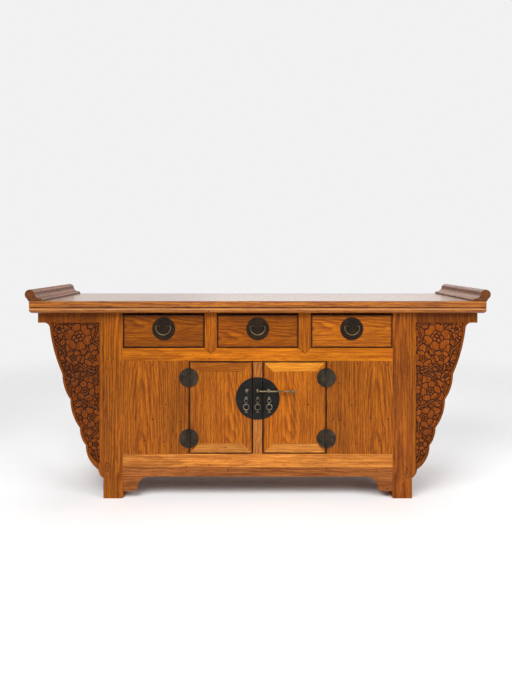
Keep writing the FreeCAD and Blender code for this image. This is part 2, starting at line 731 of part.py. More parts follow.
# Drawers.  The front is flush with the face; the sides ride on the runners.
DRAWER_LOW = f"({DRAWER_RAIL_TOP} + drawer_lift)"
SIDE_LOW = f"({DRAWER_RAIL_TOP} + run_gap)"
BOX_FRONT = f"({FACE} + drawer_front_thick)"
BOX_BACK = f"({BOX_FRONT} + drawer_length)"
BOTTOM_HIGH = f"({SIDE_LOW} + drawer_floor + drawer_floor_thick)"
HANDLE_Z = f"({DRAWER_LOW} + {DRAWER_HEIGHT}/2 + handle_rise)"
BAIL_Y = f"({FACE} - plate_thick - bail_stand)"
BAIL_Z = f"({HANDLE_Z} + bail_rise)"
for number, name in ((-1, "left"), (0, "middle"), (1, "right")):
    middle = f"{number}*({OPENING} + divider_width)"
    front = f"{name}_drawer_front"
    box = f"{name}_drawer_box"
    add(front, block(front + "_board", about(middle, f"{OPENING} - 2*drawer_gap"), (FACE, BOX_FRONT),
                     (DRAWER_LOW, f"{DRAWER_LOW} + {DRAWER_HEIGHT}")))
    half = f"({OPENING}/2 - drawer_gap - drawer_side_inset)"
    for side, hand in SIDES:
        low, high = across(side, f"{half} - drawer_side_thick", half)
        label = f"{box}_{hand}_side"
        add(box, block(label + "_board", (f"{middle} + {low}", f"{middle} + {high}"), (BOX_FRONT, BOX_BACK),
                       (SIDE_LOW, f"{SIDE_LOW} + drawer_side_height")), label)
    add(box, block(f"{box}_back_board", about(middle, f"2*({half} - drawer_side_thick)"),
                   (f"{BOX_BACK} - drawer_side_thick", BOX_BACK),
                   (BOTTOM_HIGH, f"{SIDE_LOW} + drawer_side_height")), f"{box}_back")
    spans = (about(middle, f"2*({half} - drawer_side_thick + drawer_groove)"),
             (f"{BOX_FRONT} - drawer_groove", BOX_BACK),
             (f"{SIDE_LOW} + drawer_floor", BOTTOM_HIGH))
    add(box, block(f"{box}_bottom_board", *spans), f"{box}_bottom")
    let_in(*spans, front, f"{box}_left_side", f"{box}_right_side")

    # Round plate, and two posts that the bail turns in.
    plate = f"{name}_drawer_plate"
    add(plate, rod(plate + "_disc", "y", middle, f"{FACE} - plate_thick", HANDLE_Z, "handle_radius",
                   "plate_thick", DISC_FACETS), plate)
    for side, hand in SIDES:
        label = f"{plate}_{hand}_post"
        x = f"{middle} + {side}*bail_span/2"
        stem = rod(label + "_stem", "y", x, f"{BAIL_Y} - bail_post_cap", BAIL_Z, "bail_post",
                   "bail_stand + bail_post_cap", WIRE_FACETS)
        hole = rod(label + "_hole", "x", f"{x} - 2*bail_post", BAIL_Y, BAIL_Z, "bail_wire + turning_gap",
                   "4*bail_post")
        add(plate, cut(label + "_drilled", stem, hole), label)

    # Bail: a half ring of faceted wire, hammered round in short flats, with ends hooked into the posts.
    label = f"{name}_drawer_bail"
    body = doc.addObject("PartDesign::Body", label + "_wire")
    wing = "(bail_span/2 + bail_post + bail_clear)"
    bend = f"(bail_radius - {wing})"
    stub = "(bail_span/2 - bail_end)"
    path = body.newObject("Sketcher::SketchObject", label + "_path")
    path.AttachmentSupport = [([f for f in body.Origin.OriginFeatures if f.Role == "XZ_Plane"][0], "")]
    path.MapMode = "FlatFace"
    half = [(stub, "0"), (wing, "0"), (f"{wing} + {bend}*sin(45)", f"{bend}*cos(45) - {bend}")]
    bow = [(f"bail_radius*cos({turn})", f"-{bend} - bail_radius*sin({turn})") for turn in range(0, 181, 18)]
    route = half + bow + [(f"-({x})", z) for x, z in reversed(half)]
    draw(path, route, closed=False)
    step = 360 / WIRE_FACETS
    ring = [(f"bail_wire*cos({step*(corner + 0.5)})", f"bail_wire*sin({step*(corner + 0.5)})")
            for corner in range(WIRE_FACETS)]
    section = sketch_on(body, "YZ_Plane", label + "_section", ring)
    section.setExpression("AttachmentOffset.Base.z", bound(stub))
    pipe = body.newObject("PartDesign::AdditivePipe", label + "_pipe")
    pipe.Profile = section
    pipe.Spine = (path, [])
    pipe.Transition = "Right corner"
    add(label, place(body, middle, BAIL_Y, BAIL_Z))

# Doors: four mitred frame members round a flush panel.
for side, name in SIDES:
    corners = [(f"{side}*{DOOR_IN}", DOOR_LOW), (f"{side}*{DOOR_OUT}", DOOR_LOW),
               (f"{side}*{DOOR_OUT}", DOOR_HIGH), (f"{side}*{DOOR_IN}", DOOR_HIGH)]
    shifts = ((1, 1), (-1, 1), (-1, -1), (1, -1))
    inside = [(f"{x} + {side}*{right}*door_frame_width", f"{z} + {up}*door_frame_width")
              for (x, z), (right, up) in zip(corners, shifts)]
    members = [f"{name}_door_{part}" for part in ("bottom", "hinge_stile", "top", "lock_stile")]
    for number, member in enumerate(members):
        following = (number + 1) % 4
        outline = [corners[number], corners[following], inside[following], inside[number]]
        add(f"{name}_door_frame", prism(member + "_board", "XZ_Plane", outline, "door_thick",
                                        y=f"{FACE} + door_thick"), member)
    margin = "(door_frame_width + panel_seam)"
    flush = block(f"{name}_door_field", across(side, f"{DOOR_IN} + {margin}", f"{DOOR_OUT} - {margin}"),
                  (FACE, f"{FACE} + door_panel_thick"), (f"{DOOR_LOW} + {margin}", f"{DOOR_HIGH} - {margin}"))
    margin = "(door_frame_width - tongue_reach)"
    spans = (across(side, f"{DOOR_IN} + {margin}", f"{DOOR_OUT} - {margin}"),
             (f"{FACE} + tongue_cover", f"{FACE} + tongue_cover + tongue_thick"),
             (f"{DOOR_LOW} + {margin}", f"{DOOR_HIGH} - {margin}"))
    add(f"{name}_door_panel", fuse(f"{name}_door_panel_joined", flush, block(f"{name}_door_tongue", *spans)))
    let_in(*spans, *members)

# Hinges: half-disc leaves on the panel and on the door, knuckles in front of the gap, a pin through.
AXIS_X = f"({DOOR_OUT} + door_gap/2)"
AXIS_Y = f"({FACE} - knuckle_radius)"
STEP = "(knuckle_length + knuckle_gap)"
for side, name in SIDES:
    for level, height in (("low", HINGE_LOW), ("high", HINGE_HIGH)):
        axis = f"{side}*{AXIS_X}"
        for node, hand, rows in (("hinge_fixed_leaves", side, (-1, 1)),
                                 (f"{name}_door_hinge_leaves", -side, (0,))):
            label = f"{name}_{level}_{'fixed' if hand == side else 'door'}_leaf"
            disc = rod(label + "_disc", "y", axis, f"{FACE} - leaf_thick", height, "hinge_radius",
                       "leaf_thick", DISC_FACETS)
            low, high = across(hand, "knuckle_radius + leaf_clear", "hinge_radius + 1")
            half = block(label + "_half", (f"{axis} + {low}", f"{axis} + {high}"),
                         (f"{FACE} - leaf_thick - 1", f"{FACE} + 1"), about(height, "2*hinge_radius + 2"))
            pieces = [common(label + "_plate", disc, half)]
            for row in rows:
                middle = f"{height} + {row}*{STEP}"
                low, high = across(hand, "0", "knuckle_radius + leaf_clear")
                pieces.append(block(label + "_web", (f"{axis} + {low}", f"{axis} + {high}"),
                                    (f"{FACE} - leaf_thick", FACE), about(middle, "knuckle_length")))
                pieces.append(rod(label + "_knuckle", "z", axis, AXIS_Y, f"{middle} - knuckle_length/2",
                                  clear_of("knuckle_radius", WIRE_FACETS), "knuckle_length", WIRE_FACETS))
            bore = rod(label + "_bore", "z", axis, AXIS_Y, f"{height} - hinge_radius",
                       clear_of("hinge_pin + turning_gap", WIRE_FACETS), "2*hinge_radius", WIRE_FACETS)
            add(node, cut(label + "_bored", fuse(label + "_joined", *pieces), bore), label)
        label = f"{name}_{level}_hinge_pin"
        length = "(3*knuckle_length + 2*knuckle_gap)"
        shaft = rod(label + "_shaft", "z", axis, AXIS_Y, f"{height} - {length}/2", "hinge_pin", length)
        head = rod(label + "_head", "z", axis, AXIS_Y, f"{height} + {length}/2", "knuckle_radius",
                   "leaf_thick", WIRE_FACETS)
        add("hinge_pins", fuse(label + "_joined", shaft, head), label)

# Post between the doors.  The upper mortise is deep, so the post lifts until its stub is clear.
post = block("post_board", about("0", "post_width"), (FACE, f"{FACE} + post_depth"),
             ("bottom_rail_top", f"{DRAWER_RAIL_LOW} - post_lift - fit_gap"))
deep = about(f"{FACE} + post_depth/2", "tenon_thick")
wide = about("0", "post_tenon_width")
upper = block("post_upper_tenon", wide, deep, (f"{DRAWER_RAIL_LOW} - post_lift - fit_gap",
                                               f"{DRAWER_RAIL_LOW} + post_tenon"))
let_in(wide, deep, (DRAWER_RAIL_LOW, f"{DRAWER_RAIL_LOW} + post_tenon + post_lift"), "drawer_rail")
lower = tenon("bottom_rail", wide, deep, ("bottom_rail_top - post_stub", "bottom_rail_top"))
add("center_post", fuse("post_joined", post, upper, lower))


# Lock plate in three, one part on each door and one on the post.
def eye(label, x, z, stand, radius, hole, thick, facets):
    """A flat ring square to the x axis, on a shank with a collar at the plate."""
    front = f"({FACE} - plate_thick)"
    ring = rod(label + "_ring", "x", f"{x} - {thick}/2", f"{front} - {stand}", z, radius, thick, RING_FACETS)
    shank = rod(label + "_shank", "y", x, f"{front} - {stand} + ({radius} + {hole})/2", z, "eye_shank",
                f"{stand} - ({radius} + {hole})/2", 4)
    collar = rod(label + "_collar", "y", x, f"{front} - collar_thick", z, "collar_radius", "collar_thick",
                 WIRE_FACETS)
    bore = rod(label + "_bore", "x", f"{x} - {thick}", f"{front} - {stand}", z, hole, f"2*{thick}", facets)
    return cut(label + "_bored", fuse(label + "_joined", ring, shank, collar), bore)


PIN_EYE_Z = f"({LOCK_Z} + eye_rise)"
PULL_Z = f"({LOCK_Z} + pull_rise)"
PULL_Y = f"({FACE} - plate_thick - pull_stand)"
for side, name in ((-1, "left"), (0, "center"), (1, "right")):
    disc = rod(f"{name}_lock_disc", "y", f"{side}*door_gap", f"{FACE} - plate_thick", LOCK_Z,
               "lock_radius", "plate_thick", LOCK_FACETS)
    if side:
        wide = across(side, DOOR_IN, f"{DOOR_IN} + lock_radius")
    else:
        wide = about("0", "post_width - 2*split_gap")
    part = block(f"{name}_lock_part", wide, (f"{FACE} - plate_thick - 1", f"{FACE} + 1"),
                 about(LOCK_Z, "2*lock_radius + 2"))
    add(f"{name}_lock_plate", common(f"{name}_lock_cut", disc, part))
    label = f"{name}_pin_eye"
    add(f"{name}_lock_eyes", eye(label, f"{side}*eye_pitch", PIN_EYE_Z, "eye_stand", "eye_radius",
                                 clear_of("eye_hole", RING_FACETS), "eye_thick", RING_FACETS), label)
    label = f"{name}_pull_eye"
    add(f"{name}_lock_eyes", eye(label, f"{side}*pull_pitch", PULL_Z, "pull_stand", "pull_eye_radius",
                                 "pull_eye_hole", "pull_eye_thick", 0), label)

    # Pull: a loop through the eye, a short neck, a ring and a fish tail.
    label = f"{name}_pull"
    x = f"{side}*pull_pitch"
    loop = cut(label + "_loop",
               rod(label + "_loop_out", "y", x, f"{PULL_Y} - pull_wire", f"{PULL_Z} - pull_loop",
                   clear_of("pull_loop + pull_wire", RING_FACETS), "2*pull_wire", RING_FACETS),
               rod(label + "_loop_in", "y", x, f"{PULL_Y} - 2*pull_wire", f"{PULL_Z} - pull_loop",
                   clear_of("pull_loop - pull_wire", RING_FACETS), "4*pull_wire", RING_FACETS))
    deep = about(PULL_Y, "pull_thick")
    neck = block(label + "_neck", about(x, "pull_neck"), deep,
                 (f"{PULL_Z} - pull_drop + (pull_ring + pull_ring_hole)/2", f"{PULL_Z} - 2*pull_loop"))
    ring = cut(label + "_ring",
               rod(label + "_ring_out", "y", x, deep[0], f"{PULL_Z} - pull_drop", "pull_ring", "pull_thick",
                   PULL_FACETS),
               rod(label + "_ring_in", "y", x, f"{deep[0]} - 1", f"{PULL_Z} - pull_drop", "pull_ring_hole",
                   "pull_thick + 2", PULL_FACETS))
    low = f"{PULL_Z} - pull_tail"
    tail = prism(label + "_tail", "XZ_Plane",
                 [(f"{x} - pull_neck/2", f"{PULL_Z} - pull_drop - (pull_ring + pull_ring_hole)/2"),
                  (f"{x} - pull_tail_width/2", low), (x, f"{low} + pull_tail_notch"),
                  (f"{x} + pull_tail_width/2", low),
                  (f"{x} + pull_neck/2", f"{PULL_Z} - pull_drop - (pull_ring + pull_ring_hole)/2")],
                 "pull_thick", y=deep[1])
    add(label, fuse(label + "_joined", loop, neck, ring, tail))

# Lock pin, drawn out to the right until its tip is clear of the middle eye.  Its bead is filed in flats
# square to three axes and between them, and a small eye under the bead carries the chain.
PIN_X = "(eye_thick/2 + pin_clear)"
PIN_Y = f"({FACE} - plate_thick - eye_stand)"
PIN_Z = f"({PIN_EYE_Z} - pin_sag)"
shaft = rod("pin_shaft", "x", PIN_X, PIN_Y, PIN_Z, "pin_radius", "pin_length", RING_FACETS)
bead = None
for axis in "xyz":
    centre = dict(x=f"{PIN_X} + pin_length", y=PIN_Y, z=PIN_Z)
    centre[axis] = f"{centre[axis]} - pin_ball"
    bar = rod(f"pin_bead_{axis}", axis, *centre.values(), clear_of("pin_ball", WIRE_FACETS), "2*pin_ball",
              WIRE_FACETS)
    bead = common(f"pin_bead_to_{axis}", bead, bar) if bead else bar
CHAIN_X = f"({PIN_X} + pin_length + chain_shift)"
CHAIN_Z = f"({PIN_Z} - pin_ball + ball_seat - chain_eye)"
head_eye = cut("chain_eye_ring",
               rod("chain_eye_out", "y", CHAIN_X, f"{PIN_Y} - chain_eye_thick/2", CHAIN_Z, "chain_eye",
                   "chain_eye_thick", RING_FACETS),
               rod("chain_eye_in", "y", CHAIN_X, f"{PIN_Y} - chain_eye_thick", CHAIN_Z, "chain_eye_hole",
                   "2*chain_eye_thick", RING_FACETS))
add("lock_pin", fuse("lock_pin_joined", shaft, bead, head_eye))

# Chain: flat eight-sided links, each a quarter turn from the one above.
half_length = size("link_length/2")
half_width = size("link_width/2")
wire = size("link_wire")


def link_ring(inset):
    """A flat link filled in, at an inset from its outline."""
    long = half_length - inset
    wide = half_width - inset
    snip = wide * 0.5
    turn = ((wide, long - snip), (wide - snip, long), (snip - wide, long), (-wide, long - snip),
            (-wide, snip - long), (snip - wide, -long), (wide - snip, -long), (wide, snip - long))
    edge = Part.makePolygon([Vector(x, -wire / 2, z) for x, z in turn + turn[:1]])
    return Part.Face(edge).extrude(Vector(0, wire, 0))


link = link_ring(0).cut(link_ring(wire))
pitch = size("link_length - 2*link_wire - link_play")
first = size("link_wire + link_play - chain_eye_hole - link_length/2")
links = []
for number in range(int(size("link_count"))):
    copy = link.copy()
    copy.Placement = FreeCAD.Placement(Vector(0, 0, first - number * pitch),
                                       FreeCAD.Rotation(Vector(0, 0, 1), 0 if number % 2 else 90))
    links.append(copy)
chain = doc.addObject("Part::Feature", "chain_links")
chain.Shape = Part.makeCompound(links)
add("pin_chain", place(chain, CHAIN_X, PIN_Y, CHAIN_Z))

# Sockets are sunk last, then each node is named and, where it has several solids, grouped.
finished = {}
for node, members in nodes.items():
    solids = []
    for name, piece in members.items():
        solids.append(cut(name + "_sunk", piece, *sockets[name]) if name in sockets else piece)
    if len(solids) > 1:
        whole = doc.addObject("Part::Compound", node + "_group")
        whole.Links = solids
    else:
        whole = solids[0]
    whole.Label = node
    finished[node] = whole
doc.recompute()

faults = [item.Name for item in doc.Objects if "Invalid" in item.State or "Error" in item.State]
for node, piece in finished.items():
    if piece.Shape.isNull() or not piece.Shape.isValid() or not piece.Shape.Solids:
        faults.append(node)
if faults:
    raise RuntimeError("not built: " + ", ".join(faults))

os.makedirs("parts", exist_ok=True)
for node, piece in finished.items():
    piece.Shape.exportStep(os.path.join("parts", node + ".step"))
    box = piece.Shape.BoundBox
    print(f"{node}: {len(piece.Shape.Solids)} solids, x {box.XMin:.1f} {box.XMax:.1f}, "
          f"y {box.YMin:.1f} {box.YMax:.1f}, z {box.ZMin:.1f} {box.ZMax:.1f}")
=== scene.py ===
"""An altar cabinet in oiled elm: the looks of its boards, its carving and its dark fittings."""
import math
import random

import bmesh
import bpy
import numpy
from mathutils import Matrix, Vector


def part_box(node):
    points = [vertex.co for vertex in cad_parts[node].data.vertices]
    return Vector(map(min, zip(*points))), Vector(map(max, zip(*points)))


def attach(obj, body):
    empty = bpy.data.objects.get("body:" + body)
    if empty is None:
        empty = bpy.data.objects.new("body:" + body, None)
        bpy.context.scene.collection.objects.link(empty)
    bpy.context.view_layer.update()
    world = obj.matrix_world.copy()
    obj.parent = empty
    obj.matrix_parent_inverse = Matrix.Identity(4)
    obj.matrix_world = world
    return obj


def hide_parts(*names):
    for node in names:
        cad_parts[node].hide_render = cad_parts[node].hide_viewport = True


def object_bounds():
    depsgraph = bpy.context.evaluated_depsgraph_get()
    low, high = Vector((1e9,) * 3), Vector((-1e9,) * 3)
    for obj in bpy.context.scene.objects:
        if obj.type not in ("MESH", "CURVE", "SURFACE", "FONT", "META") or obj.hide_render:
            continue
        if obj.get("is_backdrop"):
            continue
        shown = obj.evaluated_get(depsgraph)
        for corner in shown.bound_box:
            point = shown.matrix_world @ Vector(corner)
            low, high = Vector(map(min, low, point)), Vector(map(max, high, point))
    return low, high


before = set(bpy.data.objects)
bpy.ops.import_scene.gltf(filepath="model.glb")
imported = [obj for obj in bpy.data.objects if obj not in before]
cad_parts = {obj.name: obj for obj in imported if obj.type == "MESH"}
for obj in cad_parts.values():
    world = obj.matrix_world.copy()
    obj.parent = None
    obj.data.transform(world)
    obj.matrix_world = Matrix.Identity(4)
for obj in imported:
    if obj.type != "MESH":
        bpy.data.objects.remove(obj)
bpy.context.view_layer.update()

# Studio: a pale floor without an end, soft boxes of light above and round the cabinet, and white
# all round that the polish and the metal can show.  The camera is level, a little above the board.
ROOM_LIGHT = 0.18
ROOM_SHOWN = 0.70
FLOOR_REACH = 40
FLOOR_FADE = (1.3, 3.6)
FLOOR_TONES = ((0.88, 0.885, 0.89), (0.94, 0.94, 0.94))
CAMERA_AT = (0.0, -2.316, 0.998)
scene = bpy.context.scene
scene.view_settings.view_transform = "Standard"


def node(tree, kind, **settings):
    """A shader node; a setting names one of its fields or, with a capital, one of its sockets."""
    made = tree.nodes.new("ShaderNode" + kind)
    for name, value in settings.items():
        if hasattr(made, name):
            setattr(made, name, value)
        else:
            made.inputs[name].default_value = value
    return made


def wire(tree, source, target, socket):
    """Joins an output, a node's first output, or an output given as (node, name), to a socket."""
    if isinstance(source, tuple):
        source = source[0].outputs[source[1]]
    elif isinstance(source, bpy.types.Node):
        source = source.outputs[0]
    tree.links.new(source, target.inputs[socket])


def formula(tree, operation, *values, clamp=False):
    """A math node fed by nodes, outputs and plain numbers."""
    made = node(tree, "Math", operation=operation, use_clamp=clamp)
    for socket, value in enumerate(values):
        if isinstance(value, (int, float)):
            made.inputs[socket].default_value = value
        else:
            wire(tree, value, made, socket)
    return made


def between(tree, value, low, high, start=0.0, stop=1.0):
    """A value mapped smoothly from one range to another."""
    span = node(tree, "MapRange", interpolation_type="SMOOTHSTEP")
    wire(tree, value, span, 0)
    for socket, number in enumerate((low, high, start, stop), 1):
        span.inputs[socket].default_value = number
    return span


def clouds(tree, scale, detail, roughness=0.5):
    """Noise in a piece's own coordinates."""
    noise = node(tree, "TexNoise", Scale=scale, Detail=detail, Roughness=roughness)
    wire(tree, (node(tree, "TexCoord"), "Object"), noise, "Vector")
    return noise


def finish(name, specular):
    """A new material, with its tree and its shader."""
    material = bpy.data.materials.new(name)
    material.use_nodes = True
    shader = material.node_tree.nodes["Principled BSDF"]
    shader.inputs["Specular IOR Level"].default_value = specular
    return material, material.node_tree, shader


def settle(bm, name, material):
    """Makes an object of a finished mesh and gives it its material."""
    mesh = bpy.data.meshes.new(name)
    bm.to_mesh(mesh)
    bm.free()
    mesh.materials.append(material)
    item = bpy.data.objects.new(name, mesh)
    scene.collection.objects.link(item)
    return item


world = bpy.data.worlds.new("white_room")
scene.world = world
world.use_nodes = True
tree = world.node_tree
tree.nodes.clear()
path = node(tree, "LightPath")
seen = formula(tree, "MAXIMUM", (path, "Is Camera Ray"), (path, "Is Glossy Ray"))
seen = formula(tree, "MAXIMUM", seen, (path, "Is Transmission Ray"))
sky = node(tree, "Background", Color=(1.0, 1.0, 1.0, 1.0))
wire(tree, formula(tree, "MULTIPLY_ADD", seen, ROOM_SHOWN, ROOM_LIGHT), sky, "Strength")
wire(tree, sky, node(tree, "OutputWorld"), "Surface")

material, tree, shader = finish("pale_floor", 0.3)
shader.inputs["Roughness"].default_value = 0.55
tone = node(tree, "ValToRGB")
for stop, colour in zip(tone.color_ramp.elements, FLOOR_TONES):
    stop.color = (*colour, 1.0)
wire(tree, clouds(tree, 1.3, 2.0), tone, "Fac")
wire(tree, tone, shader, "Base Color")
spread = node(tree, "VectorMath", operation="LENGTH")
wire(tree, (node(tree, "TexCoord"), "Object"), spread, 0)
blend = node(tree, "MixShader")
wire(tree, between(tree, (spread, "Value"), *FLOOR_FADE), blend, 0)
wire(tree, shader, blend, 1)
wire(tree, node(tree, "BsdfTransparent"), blend, 2)
wire(tree, blend, tree.nodes["Material Output"], "Surface")
bm = bmesh.new()
bmesh.ops.create_grid(bm, x_segments=8, y_segments=8, size=FLOOR_REACH)
floor = settle(bm, "floor", material)
floor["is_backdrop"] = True

for name, place, aim, width, height, power in (
        ("key_box", (-1.2, -2.3, 3.1), (0.0, 0.0, 0.45), 2.4, 1.8, 122),
        ("fill_box", (2.1, -1.9, 2.3), (0.0, 0.0, 0.45), 2.0, 1.6, 60),
        ("top_box", (0.0, 0.6, 3.0), (0.0, 0.0, 0.8), 2.6, 1.6, 28),
        ("back_box", (0.6, 3.1, 2.7), (0.0, 0.0, 0.45), 2.6, 1.8, 38)):
    light = bpy.data.lights.new(name, "AREA")
    light.shape = "RECTANGLE"
    light.size = width
    light.size_y = height
    light.energy = power
    lamp = bpy.data.objects.new(name, light)
    lamp.location = place
    lamp.rotation_euler = (Vector(aim) - Vector(place)).to_track_quat("-Z", "Y").to_euler()
    scene.collection.objects.link(lamp)

lens = bpy.data.cameras.new("camera")
lens.lens = 27.04
lens.sensor_width = 36
lens.shift_x = -0.0025
lens.shift_y = -0.1237
camera = bpy.data.objects.new("camera", lens)
camera.location = CAMERA_AT
camera.rotation_euler = (math.radians(90), 0, 0)
scene.collection.objects.link(camera)
scene.camera = camera

# Legs: four posts of elm, sawn with the grain upright and mortised for every rail.  The figure of
# elm is made here once, as a group that each board takes with its own colours and heart.
MILLIMETRE = 0.001
RIPPLE = 0.007
HOLE_CELLS = 12.0
HOLE_EDGE = (0.026, 0.050)
HOLE_TONE = (0.016, 0.007, 0.003)
WOOD_GLOSS = 0.14
BUMP_DEPTH = 0.0006
UPRIGHT = ("Z", "X", "Y")
LEVEL = ("X", "Z", "Y")
INWARD = ("Y", "X", "Z")
AMBER = ((0.430, 0.123, 0.005), (0.165, 0.036, 0.0015))
UMBER = ((0.300, 0.115, 0.045), (0.120, 0.040, 0.016))
RED_AMBER = ((0.352, 0.094, 0.006), (0.135, 0.028, 0.002))
KNOTS = {"front_left_leg": (-0.622, 0.128), "front_right_leg": (0.620, 0.103)}
KNOT_SIZE = (0.009, 0.018)
KNOT_TONE = (0.045, 0.013, 0.004)


def effect(name, takes, gives):
    """A shader group with named inputs and outputs, and its two ends."""
    group = bpy.data.node_groups.new(name, "ShaderNodeTree")
    for side, sockets in (("INPUT", takes), ("OUTPUT", gives)):
        for label, kind in sockets.items():
            group.interface.new_socket(label, in_out=side, socket_type="NodeSocket" + kind)
    return group, group.nodes.new("NodeGroupInput"), group.nodes.new("NodeGroupOutput")


def blended(tree, mask, first, second, how="MIX"):
    """Two colours, each a tone or an output, mixed as far as a mask says."""
    mix = node(tree, "Mix", data_type="RGBA", blend_type=how)
    wire(tree, mask, mix, 0)
    for socket, colour in ((6, first), (7, second)):
        if isinstance(colour, tuple) and isinstance(colour[0], float):
            mix.inputs[socket].default_value = (*colour, 1.0)
        else:
            wire(tree, colour, mix, socket)
    return mix.outputs[2]


figure, given, result = effect(
    "elm_figure",
    {"Vector": "Vector", "Early": "Color", "Late": "Color", "Ring": "Float", "Taper": "Float",
     "Wander": "Float", "Specks": "Float"},
    {"Color": "Color", "Roughness": "Float", "Height": "Float"})


def stretched(along, across, detail, roughness=0.5):
    """Noise drawn out along the board, by how often it changes in a metre along and across."""
    spread = node(figure, "VectorMath", operation="MULTIPLY")
    wire(figure, (given, "Vector"), spread, 0)
    spread.inputs[1].default_value = (along, across, across)
    noise = node(figure, "TexNoise", Scale=1.0, Detail=detail, Roughness=roughness)
    wire(figure, spread, noise, "Vector")
    return noise


# growth rings: the distance from the heart, which leans, wanders and ripples along the board
axes = node(figure, "SeparateXYZ")
wire(figure, (given, "Vector"), axes, 0)
sway = formula(figure, "SUBTRACT", stretched(1.1, 5.0, 2.0), 0.5)
ripple = formula(figure, "SUBTRACT", stretched(7.0, 26.0, 2.0), 0.5)
lean = formula(figure, "MULTIPLY", (axes, "X"), (given, "Taper"))
across = formula(figure, "MULTIPLY", (axes, "Y"), (axes, "Y"))
deep = formula(figure, "MULTIPLY", (axes, "Z"), (axes, "Z"))
reach = formula(figure, "SQRT", formula(figure, "ADD", across, deep))
reach = formula(figure, "ADD", reach, lean)
reach = formula(figure, "MULTIPLY_ADD", sway, (given, "Wander"), reach)
reach = formula(figure, "MULTIPLY_ADD", ripple, RIPPLE, reach)
turn = formula(figure, "FRACT", formula(figure, "DIVIDE", reach, (given, "Ring")))
late = formula(figure, "MULTIPLY", between(figure, turn, 0.25, 0.92),
               between(figure, turn, 0.92, 1.0, 1.0, 0.0))
faint = between(figure, stretched(2.2, 24.0, 2.0), 0.34, 0.64, 0.30, 1.0)
late = formula(figure, "MULTIPLY", late, faint)
# fibres, long streaks, short flecks, hair lines, open pores and slow clouds
fibre = between(figure, stretched(20.0, 440.0, 3.0, 0.7), 0.36, 0.64)
streak = between(figure, stretched(3.6, 235.0, 2.0, 0.6), 0.40, 0.61)
fleck = between(figure, stretched(17.0, 250.0, 0.0), 0.40, 0.60)
hair = between(figure, stretched(40.0, 1400.0, 2.0, 0.7), 0.34, 0.66)
pore = between(figure, stretched(46.0, 620.0, 1.0), 0.56, 0.68)
cloud = stretched(2.4, 6.0, 3.0)
# a few nail holes and pin knots
cells = node(figure, "TexVoronoi", voronoi_dimensions="2D", Scale=HOLE_CELLS)
wire(figure, (given, "Vector"), cells, "Vector")
chance = node(figure, "SeparateColor")
wire(figure, (cells, "Color"), chance, 0)
rare = formula(figure, "LESS_THAN", (chance, "Red"), (given, "Specks"))
speck = formula(figure, "MULTIPLY", between(figure, (cells, "Distance"), *HOLE_EDGE, 1.0, 0.0), rare)

shade = formula(figure, "MULTIPLY", late, 0.46)
for layer, weight in ((fibre, 0.28), (hair, 0.20), (streak, 0.44), (fleck, 0.18), (pore, 0.36)):
    shade = formula(figure, "MULTIPLY_ADD", layer, weight, shade)
colour = blended(figure, between(figure, shade, 0.12, 1.10), (given, "Early"), (given, "Late"))
tint = node(figure, "HueSaturation")
wire(figure, colour, tint, "Color")
wire(figure, between(figure, cloud, 0.25, 0.75, 0.80, 1.18), tint, "Value")
marked = blended(figure, formula(figure, "MULTIPLY", speck, 0.85), (tint, "Color"), HOLE_TONE)
wire(figure, marked, result, "Color")
gloss = formula(figure, "MULTIPLY_ADD", pore, 0.22, 0.34)
wire(figure, formula(figure, "MULTIPLY_ADD", cloud, 0.16, gloss), result, "Roughness")
rise = 1.0
for layer, weight in ((late, -0.35), (pore, -0.5), (fibre, -0.25)):
    rise = formula(figure, "MULTIPLY_ADD", layer, weight, rise)
wire(figure, formula(figure, "SUBTRACT", rise, speck), result, "Height")


def placed(tree, group, name, **values):
    """A group placed in a material, with its own values."""
    made = node(tree, "Group", name=name)
    made.node_tree = group
    for label, value in values.items():
        made.inputs[label].default_value = value
    return made


def turned(tree, parts, grain):
    """A point in the order of a board's length, width and thickness."""
    point = node(tree, "CombineXYZ")
    for socket, axis in enumerate(grain):
        wire(tree, (parts, axis), point, socket)
    return point


def elm(name, grain, tones, heart, ring=0.0058, taper=0.05, wander=0.030, specks=0.20, bump=0.3):
    """Elm finish: the grain's axes, early and late wood, and where the heart of the log lies."""
    material, tree, shader = finish(name, WOOD_GLOSS)
    moved = node(tree, "VectorMath", operation="SUBTRACT")
    wire(tree, (node(tree, "TexCoord"), "Object"), moved, 0)
    moved.inputs[1].default_value = heart
    parts = node(tree, "SeparateXYZ")
    wire(tree, moved, parts, 0)
    early, late = ((*tone, 1.0) for tone in tones)
    wood = placed(tree, figure, "figure", Early=early, Late=late, Ring=ring, Taper=taper, Wander=wander,
                  Specks=specks)
    wire(tree, turned(tree, parts, grain), wood, "Vector")
    relief = node(tree, "Bump", Strength=bump, Distance=BUMP_DEPTH)
    wire(tree, (wood, "Height"), relief, "Height")
    wire(tree, (wood, "Color"), shader, "Base Color")
    wire(tree, (wood, "Roughness"), shader, "Roughness")
    wire(tree, relief, shader, "Normal")
    return material


def dress(name, material, arris=0.7):
    """Gives a CAD node its finish and softens its arrises by hand-planed rounds, in millimetres.

    A node of boards that meet face to face takes None, because a weld would join them.
    """
    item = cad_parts[name]
    item.data.materials.clear()
    item.data.materials.append(material)
    if arris is None:
        return
    weld = item.modifiers.new("joined", "WELD")
    weld.merge_threshold = 0.01 * MILLIMETRE
    if arris:
        round_off = item.modifiers.new("arris", "BEVEL")
        round_off.width = arris * MILLIMETRE
        round_off.segments = 2
        round_off.limit_method = "ANGLE"
        round_off.angle_limit = math.radians(40)
        round_off.harden_normals = False


def heart_of(name, side=0.0, depth=0.08):
    """A heart for a board: its middle, moved sideways and deep behind its face."""
    low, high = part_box(name)
    middle = (low + high) / 2
    return (middle.x + side, middle.y + depth, middle.z)


